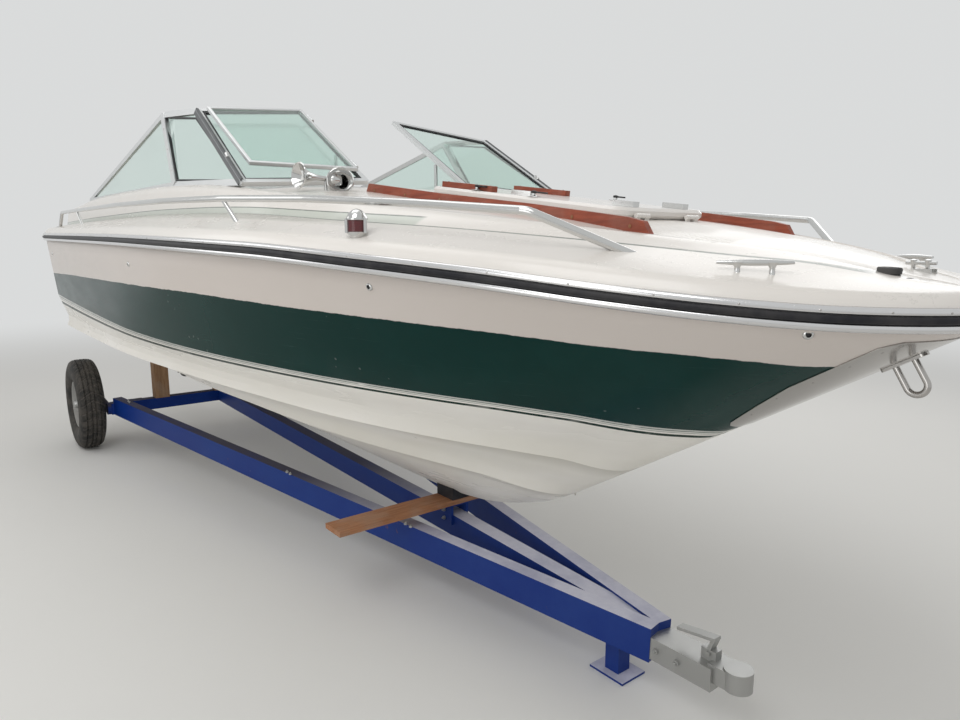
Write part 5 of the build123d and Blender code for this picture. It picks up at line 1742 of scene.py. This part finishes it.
    def lights(self) -> None:
        """Builds the domed side lights on their bases."""
        dome, lens = Form(), Form()
        k = self.light_scale
        foot = mm((0, 22), (4, 23), (10, 26), (18, 32), (26, 36), (32, 38))
        cap = mm((74, 38.5), (77, 39.5), (84, 37.5), (97, 30.5), (107, 20), (112.5, 9), (114.5, 0))
        glass = mm((31, 33), (33, 35), (73, 35), (75, 33))
        for side in Side:
            x, y = self.light_at
            base = self.on_deck(x, side.value * y)
            for form, profile in ((dome, foot), (dome, cap), (lens, glass)):
                form.lathe([(along * k, out * k) for along, out in profile], base, UP, 36)
            for angle in (radians(-15.0), radians(100.0)):
                post = side.at(cos(angle), sin(angle), 0) * 0.0365
                dome.slab((-0.006 * k, -0.006 * k, 0.028 * k), (0.006 * k, 0.006 * k, 0.08 * k), None,
                          base + post * k)
            dome.slab((-0.038 * k, -0.03 * k, 0.03 * k), (-0.012 * k, 0.03 * k, 0.078 * k), None, base)
            dome.bolt(base + side.at(0, 0.033, 0.088) * k, side.at(0, 1, 0.7), 0.0025)
        dome.build("side_light_domes", CHROME, replaces=["side_lights"], angle=40.0)
        lens.build("side_light_glasses", RED_LENS, replaces=["side_light_lenses"], angle=40.0)

    def hatch_details(self) -> None:
        """Adds the hatch's latches, levers and strip screws."""
        slope = self.hatch_slope
        up = Vector((-slope.z, 0, slope.x))
        middle = self.hatch_middle + up * 0.032
        latch, lever, screws = Form(), Form(), Form()
        for along, across, angle in self.latches:
            at = middle + slope * along + Vector((0, across, 0)) + up * 0.0005
            latch.lathe(mm((0, 11), (3, 11), (5, 7), (11, 6.5)), at, up, 20)
            latch.slab((-0.024, -0.009, 0.0), (0.024, 0.009, 0.0025), turned(up), at)
            lever.lathe(mm((11, 10), (18, 9), (20, 0)), at, up, 20)
            turn = turned(up) @ Matrix.Rotation(angle, 3, "Z")
            lever.slab((-0.004, -0.007, 0.012), (0.05, 0.007, 0.017), turn, at)
        latch.build("hatch_latches", CHROME, Body.HATCH, bevel=0.0006, angle=45.0)
        lever.build("hatch_levers", BLACK_PLASTIC, Body.HATCH, bevel=0.001)
        for across, along in product((-self.strip_y, self.strip_y), (-0.4, -0.275, -0.15)):
            screws.bolt(middle + slope * along + Vector((0, across, 0)) + up * 0.0195, up, 0.004)
        screws.build("hatch_strip_screws", STAINLESS, Body.HATCH)

    def plugs(self) -> None:
        """Adds the plugs along the teak boards."""
        form = Form()
        start, end = self.teak_ends
        for side in Side:
            for k in range(7):
                x, y = start.lerp(end, 0.05 + 0.15 * k)
                at = side.at(x, y + 0.0102, self.deck.top(x, y) + 0.02)
                form.lathe(mm((0, 5), (1.2, 4.8), (1.4, 0)), at, side.at(0, 1, 0), 12)
        form.build("teak_plugs", DOOR_WOOD)

    def make(self) -> None:
        """Builds and dresses the fittings on deck."""
        for step in (self.horns, self.cleats, self.bow, self.lights, self.hatch_details, self.plugs):
            step()
        self.dress(TUBE_STEEL, ["hand_rail_starboard", "hand_rail_port", "hatch_fittings"])
        self.dress(TEAK, ["teak_boards", "hatch_strips"], 0.0025)
        self.dress(HATCH_WHITE, ["cabin_hatch", "hatch_coaming"], 0.004)


@dataclass
class Cushion:
    """A padded, piped cushion over a flat outline."""

    name: str
    outline: Sequence[Pair]
    low: float
    high: float
    node: str
    body: Body = Body.BOAT
    place: Matrix = Matrix.Identity(4)
    channels: tuple[float, ...] = ()
    cap: float = 0.022
    inset: float = 0.012
    voxel: float = 0.006
    rounding: float = 0.012
    pressure: float = 4.0
    frames: int = 20
    channel_deep: float = 0.011
    welt_radius: float = 0.0038
    welt_step: float = 0.03

    def shape(self) -> Object:
        """The plain slab that swells into the cushion, a little smaller all round.

        Returns:
            The slab.
        """
        form = Form()
        middle = sum((Vector(point) for point in self.outline), Vector((0, 0))) / len(self.outline)
        flat = []
        for point in self.outline:
            away = Vector(point) - middle
            flat.append([value - self.inset * (1 if off > 0 else -1) for value, off in zip(point, away)])
        rows = [[Vector((x, y, z)) for x, y in flat] for z in (self.low + 0.002, self.high - self.inset)]
        form.close(form.grid(rows, loop=True))
        bmesh.ops.recalc_face_normals(form.mesh, faces=form.mesh.faces[:])
        bmesh.ops.bevel(form.mesh, geom=form.mesh.edges[:], offset=self.rounding, segments=2,
                        affect="EDGES", clamp_overlap=True)
        data = bpy.data.meshes.new(self.name)
        form.mesh.to_mesh(data)
        form.mesh.free()
        piece = placed(self.name, data)
        remesh = piece.modifiers.new("Grid", "REMESH")
        remesh.mode = "VOXEL"
        remesh.voxel_size = self.voxel * 1
        self.bake(piece)
        return piece

    def bake(self, piece: Object) -> None:
        """Applies the piece's modifiers to its mesh.

        Args:
            piece: the slab or the pad.
        """
        graph = bpy.context.evaluated_depsgraph_get()
        graph.update()
        data = bpy.data.meshes.new_from_object(piece.evaluated_get(graph))
        piece.modifiers.clear()
        old = piece.data
        piece.data = data
        bpy.data.meshes.remove(old)

    def swell(self, piece: Object) -> None:
        """Blows the slab up as cloth and caps how far each point moves.

        Args:
            piece: the slab.
        """
        start = [v.co.copy() for v in piece.data.vertices]
        cloth = piece.modifiers.new("Fill", "CLOTH").settings
        cloth.use_pressure = True
        cloth.uniform_pressure_force = self.pressure
        cloth.effector_weights.gravity = 0.0
        cloth.quality = 4
        scene = bpy.context.scene
        for frame in range(1, self.frames + 1):
            scene.frame_set(frame)
        self.bake(piece)
        scene.frame_set(1)
        for vertex, first in zip(piece.data.vertices, start):
            moved = vertex.co - first
            if moved.length > self.cap:
                vertex.co = first + moved.normalized() * self.cap
            vertex.co.z = max(vertex.co.z, self.low + 0.001)

    def crown(self, piece: Object) -> None:
        """Presses the sewn channels into the top and keeps the pad inside its place.

        Args:
            piece: the swollen pad.
        """
        limits = [(min(values), max(values)) for values in zip(*self.outline)]
        for vertex in piece.data.vertices:
            spot = vertex.co
            if spot.z > (self.low + self.high) / 2:
                for line in self.channels:
                    spot.z -= self.channel_deep * exp(-((spot.y - line) / self.channel_deep) ** 2)
            spot.xy = [min(max(value, low), high) for value, (low, high) in zip(spot, limits)]
            spot.z = min(spot.z, self.high + 0.006)

    def piping(self, piece: Object) -> None:
        """Lays the welt round the pad's upper edge.

        Args:
            piece: the pad.
        """
        data = piece.data
        tree = BVHTree.FromPolygons([v.co for v in data.vertices], [p.vertices for p in data.polygons])
        route = []
        ends = [Vector((x, y, self.high - 0.004)) for x, y in self.outline]
        for start, end in zip(ends, ends[1:] + ends[:1]):
            steps = max(2, int((end - start).length / self.welt_step))
            for step in range(steps):
                near, normal, _, _ = tree.find_nearest(start.lerp(end, step / steps))
                route.append(near + normal * 0.0005)
        for _ in range(3):
            after = route[1:] + route[:1]
            route = [(route[k - 1] + point * 2 + after[k]) / 4 for k, point in enumerate(route)]
        form = Form()
        form.tube(route, self.welt_radius, 8, closed=True)
        bmesh.ops.transform(form.mesh, matrix=self.place, verts=form.mesh.verts[:])
        form.build(f"{self.name}_welt", WELT, self.body)

    def make(self) -> None:
        """Builds the cushion with its welt."""
        piece = self.shape()
        self.swell(piece)
        self.crown(piece)
        self.piping(piece)
        piece.data.transform(self.place)
        for face in piece.data.polygons:
            face.use_smooth = True
        piece.data.materials.clear()
        piece.data.materials.append(VINYL.material())
        fine = piece.modifiers.new("Fine", "SUBSURF")
        fine.levels = fine.render_levels = 1
        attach(piece, self.body.value)
        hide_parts(self.node)
        LOG.info("padded %s", self.name)


@dataclass
class Cockpit(Assembly):
    """The liner with its seats, helm, instruments and doors."""

    seat_x: float = -0.26
    seat_y: float = 0.52
    seat_half: float = 0.235
    berth: Table = ((0.915, 0.25), (0.915, 0.8), (1.5, 0.67), (1.9, 0.51), (2.13, 0.37), (2.13, 0.006),
                    (1.42, 0.006), (1.42, 0.25))
    dash_x: float = 0.4795
    dials: tuple[Triple, ...] = ((-0.42, 1.6, 0.04), (-0.54, 1.61, 0.048), (-0.66, 1.6, 0.04),
                                 (-0.76, 1.56, 0.028), (-0.34, 1.56, 0.028))
    throttle: Vector = Vector((0.2, -0.8257, 1.42))
    door_x: float = 0.884
    helm: Vector = Vector((0.345, -0.54, 1.49))
    helm_aim: Vector = Vector((-0.9, 0.0, 0.436))

    def cushions(self) -> Iterable[Cushion]:
        """The cushions of the berths, benches, seats and engine cover, in turn.

        Returns:
            The cushions.
        """
        lean = Vector((-0.1, 0, 0.39)).normalized()
        turn = Matrix((lean, (0, -1, 0), (lean.z, 0, -lean.x))).transposed()
        ribs = (-0.12, 0.0, 0.12)
        for side in Side:
            s, word = side.value, side.name.lower()
            middle = s * self.seat_y
            yield Cushion(f"berth_pad_{word}", [(x, s * y) for x, y in self.berth], 1.0403, 1.1103,
                          "berth_cushions", voxel=0.012, cap=0.012, inset=0.008)
            low, high = sorted((s * 0.355, s * 0.82))
            yield Cushion(f"bench_pad_{word}", self.square(-2.252, low, -1.564, high), 1.2003, 1.27,
                          "bench_cushions", channels=(s * 0.47, s * 0.59, s * 0.71), voxel=0.009)
            pad = self.square(self.seat_x, middle - self.seat_half,
                              self.seat_x + 0.44, middle + self.seat_half)
            yield Cushion(f"seat_pad_{word}", pad, 1.1803, 1.29, "seat_cushions",
                          channels=tuple(middle + shift for shift in ribs), voxel=0.008)
            back = self.square(0.02, -self.seat_half, 0.402, self.seat_half)
            place = Matrix.Translation((self.seat_x + 0.05, middle, 1.27)) @ turn.to_4x4()
            yield Cushion(f"seat_back_{word}", back, -0.045, 0.045, "seat_cushions", place=place,
                          channels=ribs, voxel=0.008)
        yield Cushion("engine_pad", self.square(-2.228, -0.331, -1.564, 0.331), 1.2263, 1.27,
                      "engine_cover_pad", Body.ENGINE_LID, channels=(-0.165, 0.0, 0.165), voxel=0.009,
                      inset=0.006, cap=0.014)

    @staticmethod
    def square(x0: float, y0: float, x1: float, y1: float) -> list[Pair]:
        """Corners of a rectangle."""
        return [(x0, y0), (x1, y0), (x1, y1), (x0, y1)]

    def instruments(self) -> None:
        """Adds the dials and switches of the helm."""
        dial, bezel, mark = Form(), Form(), Form()
        back = Vector((-1, 0, 0))
        for y, z, radius in self.dials:
            at = Vector((self.dash_x, y, z))
            dial.lathe([(0.0, radius), (0.006, radius), (0.0061, 0.0)], at, back, 32)
            rim = ((0.0, 0.004), (0.01, 0.004), (0.013, 0.0), (0.007, -0.001), (0.0, -0.001))
            bezel.lathe([(along, radius + out) for along, out in rim], at, back, 32)
            mark.slab((-0.0085, -0.0012, -0.006), (-0.0075, 0.0012, radius * 0.75),
                      Matrix.Rotation(0.7, 3, "X"), at)
            for k in range(9):
                turn = Matrix.Rotation(-2.2 + 0.55 * k, 3, "X")
                mark.slab((-0.0075, -0.0008, radius * 0.78), (-0.0068, 0.0008, radius * 0.92), turn, at)
        for k in range(5):
            bezel.lathe(mm((0, 9), (4, 9), (5, 4), (18, 3.5), (20, 0)),
                        Vector((self.dash_x, -0.62 + 0.04 * k, 1.5)), Vector((-1, 0, 0.3)), 14)
        dial.build("dial_faces", BLACK_PLASTIC)
        bezel.build("dial_bezels", CHROME, angle=45.0)
        mark.build("dial_marks", HATCH_WHITE)

    def controls(self) -> None:
        """Adds the throttle on the cockpit's side."""
        lever, knob = Form(), Form()
        base = self.throttle
        lever.slab((-0.07, 0.0, -0.09), (0.07, 0.012, 0.09), None, base)
        lever.lathe(mm((0, 30), (20, 28), (26, 20), (28, 0)), base + Vector((0, 0.012, 0)),
                    Vector((0, 1, 0)), 28)
        arm = ((0, 0.03, 0), (0.03, 0.034, 0.07), (0.05, 0.036, 0.15))
        lever.tube([base + Vector(point) for point in arm], 0.007)
        lever.build("throttle_lever", CHROME, bevel=0.002, angle=45.0)
        knob.lathe(mm((-16, 0), (-15, 12), (0, 18), (16, 14), (22, 0)), base + Vector((0.055, 0.037, 0.165)),
                   Vector((0.3, 0, 1)), 20)
        knob.build("throttle_knob", BLACK_PLASTIC, angle=60.0)

    def details(self) -> None:
        """Adds the liner's screws, the cabin door's pull and louvres, and the boss of the wheel."""
        trim, catch, louvre, hub = Form(), Form(), Form(), Form()
        for side in Side:
            for z, x in product((0.93, 1.15), (self.seat_x + 0.03, self.seat_x + 0.41)):
                trim.bolt(side.at(x, self.seat_y - self.seat_half, z), side.at(0, -1, 0), 0.007)
        trim.bolt(Vector((-2.258, 0.7, 1.4)), Vector((1, 0, 0)), 0.02)
        trim.build("liner_screws", STAINLESS)
        catch.lathe(mm((0, 27), (2.5, 27), (3.5, 25), (3.5, 22), (1, 19), (0.8, 0)),
                    Vector((self.door_x, -0.16, 1.28)), Vector((-1, 0, 0)), 28)
        catch.slab((-0.003, -0.06, -0.012), (0.0, -0.02, 0.012), None, Vector((self.door_x, -0.14, 1.1)))
        catch.build("door_catch", CHROME, Body.CABIN_DOOR, bevel=0.001, angle=45.0)
        for k in range(7):
            louvre.slab((-0.006, -0.11, -0.006), (0.0, 0.11, 0.004), Matrix.Rotation(0.5, 3, "Y"),
                        Vector((self.door_x, 0, 1.44 + 0.022 * k)))
        louvre.build("door_louvres", DOOR_WOOD, Body.CABIN_DOOR)
        aim = self.helm_aim.normalized()
        hub.lathe(mm((0, 30), (4, 29), (8, 20), (9, 0)), self.helm + aim * 0.03, aim, 28)
        hub.build("wheel_boss", CHROME, Body.HELM, angle=45.0)

    def make(self) -> None:
        """Builds and dresses the cockpit."""
        self.dress(LINER_CREAM, ["cockpit_liner", "seat_bases", "engine_cover"])
        self.dress(DOOR_WOOD, ["cabin_door"])
        self.dress(BLACK_PLASTIC, ["steering_column", "steering_wheel"])
        self.dress(ENGINE_GREY, ["engine_block"], 0.006)
        for cushion in self.cushions():
            cushion.make()
        self.instruments()
        self.controls()
        self.details()


@dataclass
class SternDrive(Assembly):
    """The drive on the transom with its leg and screw."""

    nuts_at: Sequence[Pair] = tuple(product((-0.12, 0.12), (0.5, 0.65, 0.8)))
    face: Vector = Vector((-0.995, 0.0, -0.0988))

    def make(self) -> None:
        """Dresses the drive and adds the nuts of its housing."""
        self.dress(DRIVE_GREY, ["drive_housing", "drive_yoke", "drive_leg"], 0.003)
        self.dress(SCREW_ALLOY, ["propeller"], 0.001)
        form = Form()
        for y, z in self.nuts_at:
            x = TRANSOM + 0.11 * (1.54 - z) / 1.108 - 0.0285
            form.nut(Vector((x, y, z)), self.face, 0.011)
        form.build("housing_nuts", STAINLESS)


@dataclass
class Trailer(Assembly):
    """The blue road trailer with its wheels, plank and coupling."""

    hub: Vector = Vector((-2.15, 0.923, 0.327))
    lamp_at: Vector = Vector((-1.972, 0.66, 0.31))
    section: Table = ((-0.06, 0.179), (-0.07, 0.186), (-0.082, 0.215), (-0.086, 0.25),
                      (-0.082, 0.285), (-0.072, 0.309), (-0.062, 0.318), (-0.05, 0.3235), (-0.048, 0.3165),
                      (-0.042, 0.3165), (-0.04, 0.325), (-0.018, 0.3268), (-0.016, 0.3195), (-0.01, 0.3195),
                      (-0.008, 0.3268))
    rail_height: Table = ((-1.9, 0.33), (2.33, 0.196))
    rail_bolts: Table = ((-1.7, 0.72), (0.3, 0.405), (1.2, 0.255))

    def tyre(self, side: Side) -> None:
        """Builds one tyre with grooves round its tread, and its wheel's nuts and cap.

        Args:
            side: which side of the trailer.
        """
        form, nuts = Form(), Form()
        profile = [*self.section, *((-along, out) for along, out in self.section[::-1])]
        hub = side.at(*self.hub)
        out = side.at(0, 1, 0)
        form.lathe([*profile, profile[0]], hub, Vector((0, 1, 0)), 44)
        body = Body[f"WHEEL_{side.name}"]
        word = side.name.lower()
        form.build(f"tyre_casing_{word}", TYRE, body, [f"tyre_{word}"], angle=50.0)
        for k in range(4):
            turn = Matrix.Rotation(pi / 4 + pi / 2 * k, 3, "Y")
            nuts.nut(hub + out * 0.026 + turn @ Vector((0.068, 0, 0)), out, 0.011)
        nuts.lathe(mm((0, 30), (12, 30), (28, 24), (32, 0)), hub + out * 0.045, out, 24)
        nuts.build(f"wheel_nuts_{word}", ZINC, body, angle=50.0)

    def lamps(self) -> None:
        """Adds the lamp clusters and the bolts of the frame."""
        bracket, lens, bolts = Form(), Form(), Form()
        for side in Side:
            at = side.at(*self.lamp_at)
            bracket.slab((-0.012, -0.085, -0.04), (0.0, 0.085, 0.04), None, at)
            lens.slab((-0.04, -0.08, -0.034), (-0.0122, 0.08, 0.034), None, at)
            for (x, y), shift in product(self.rail_bolts, (-0.02, 0.02)):
                z = read(self.rail_height, x) + 0.06
                bolts.nut(side.at(x + shift, y, z), UP, 0.008)
        for z, side in product((0.272, 0.31), Side):
            bolts.nut(side.at(1.18, 0.047, z), side.at(0, 1, 0), 0.009)
        for x, side in product((2.36, 2.44), Side):
            bolts.nut(side.at(x, 0.052, 0.19), side.at(0, 1, 0), 0.01)
        bracket.build("lamp_backs", BLACK_PLASTIC, bevel=0.003)
        lens.build("lamp_glasses", TAIL_LENS, bevel=0.006)
        bolts.build("trailer_bolts", ZINC)

    def make(self) -> None:
        """Builds and dresses the trailer."""
        for side in Side:
            self.tyre(side)
        self.lamps()
        self.dress(BLUE, ["trailer_frame", "axle_arms", "keel_bracket", "jack_leg"], 0.0035)
        self.dress(RIM_SILVER, ["rim_starboard", "rim_port"], 0.002)
        self.dress(PLANK_WOOD, ["plank"], 0.003)
        self.dress(CHOCK_WOOD, ["rear_chocks"], 0.004)
        self.dress(BLACK_RUBBER, ["keel_pad"], 0.004)
        self.dress(ZINC, ["coupling", "coupling_lever"], 0.003)


PALE: Colour = (0.7, 0.71, 0.71)
BLACK: Colour = (0.0, 0.0, 0.0)


@dataclass(frozen=True)
class Lamp:
    """A square soft lamp: its place, its width and its power in watts."""

    name: str
    place: Triple
    size: float
    power: float

    def hang(self, target: Vector) -> None:
        """Hangs the lamp, aimed at a point.

        Args:
            target: the point that it lights.
        """
        data = bpy.data.lights.new(self.name, "AREA")
        data.energy = self.power
        data.size = self.size
        aim = target - Vector(self.place)
        turn = aim.to_track_quat("-Z", "Y").to_matrix().to_4x4()
        placed(self.name, data).matrix_world = Matrix.Translation(self.place) @ turn


@dataclass
class Studio:
    """The camera at the photographed angle, with a plain pale floor and soft lamps."""

    place: Vector = Vector((3.65, -1.801, 1.499))
    azimuth: float = 51.591
    pitch: float = 9.528
    roll: float = 0.1
    lens: float = 26.46
    floor_half: float = 40.0
    glow: Colour = (1.0, 0.985, 0.965)
    target: Vector = Vector((0.3, 0.0, 1.0))
    hung: tuple[Lamp, ...] = (
        Lamp("key", (3.0, -3.4, 5.2), 3.2, 78.0), Lamp("side", (-3.6, -4.6, 3.4), 3.0, 29.0),
        Lamp("back", (0.5, 5.0, 4.2), 3.5, 55.0), Lamp("top", (-0.4, -0.5, 6.2), 4.0, 55.0),
        Lamp("low", (2.8, -5.0, 1.35), 2.6, 27.0))

    def camera(self) -> None:
        """Sets the camera."""
        data = bpy.data.cameras.new("view")
        data.lens = self.lens
        data.sensor_width = 36.0
        data.clip_start = 0.01
        view = placed("view", data)
        turn = (Matrix.Rotation(radians(self.azimuth), 4, "Z")
                @ Matrix.Rotation(radians(90 - self.pitch), 4, "X")
                @ Matrix.Rotation(radians(-self.roll), 4, "Z"))
        view.matrix_world = Matrix.Translation(self.place) @ turn
        bpy.context.scene.camera = view

    def floor(self) -> None:
        """Lays the floor, which fades into the pale surround."""
        data = bpy.data.meshes.new("floor")
        half = self.floor_half
        data.from_pydata([(-half, -half, 0), (half, -half, 0), (half, half, 0), (-half, half, 0)], [],
                         [(0, 1, 2, 3)])
        floor = placed("floor", data)
        paint = Paint("pale_floor", {"Specular IOR Level": 0.0, "Emission Strength": 1.0})
        cloud = paint.noise(0.8, 4.0, 0.6)
        x, y, _ = paint.place()
        far = ((x * x + y * y) ** 0.5).above(8.0, 4.5)
        near = Tint(paint, (0.82, 0.82, 0.8)).under((0.74, 0.74, 0.72), cloud * 0.3)
        paint.feed(paint.shader.inputs["Emission Color"], Tint(paint, BLACK).under(PALE, far))
        data.materials.append(paint.done(near.under(BLACK, far), 0.7 + cloud * 0.1))

    def surround(self) -> None:
        """Sets the pale surround: a soft glow that shows as plain pale grey."""
        world = bpy.data.worlds.new("surround")
        bpy.context.scene.world = world
        world.use_nodes = True
        nodes = Nodes(world.node_tree)
        nodes.tree.nodes.clear()
        path = nodes.node("ShaderNodeLightPath")
        seen = path.outputs["Is Camera Ray"]
        for label in ("Is Glossy Ray", "Is Transmission Ray"):
            seen = nodes.node("ShaderNodeMath", {"operation": "MAXIMUM"},
                              {0: seen, 1: path.outputs[label]}).outputs[0]
        glow = nodes.node("ShaderNodeBackground", sockets={0: self.glow, 1: 0.5})
        pale = nodes.node("ShaderNodeBackground", sockets={0: PALE, 1: 1.0})
        blend = nodes.node("ShaderNodeMixShader", sockets={0: seen, 1: glow.outputs[0], 2: pale.outputs[0]})
        nodes.node("ShaderNodeOutputWorld", sockets={0: blend.outputs[0]})

    def make(self) -> None:
        """Sets up the camera, floor, lamps and surround."""
        self.camera()
        self.floor()
        for lamp in self.hung:
            lamp.hang(self.target)
        self.surround()
        bpy.context.scene.view_settings.view_transform = "Standard"


def corners(bounds: tuple[Vector, Vector]) -> list[list[float]]:
    """A box as plain lists."""
    return [[round(value, 5) for value in corner] for corner in bounds]


def main() -> None:
    """Builds the studio, the boat and the trailer."""
    logging.basicConfig(level=logging.INFO, format="%(message)s")
    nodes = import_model()["nodes"]
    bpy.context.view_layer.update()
    Studio().make()
    deck = Deck(nodes)
    for assembly in (Hull(nodes), deck, RubRail(nodes), Windscreen(nodes), DeckFittings(nodes, deck),
                     Cockpit(nodes), SternDrive(nodes), Trailer(nodes)):
        assembly.make()
        LOG.info("%s done", type(assembly).__name__)


if __name__ == "__main__":
    main()
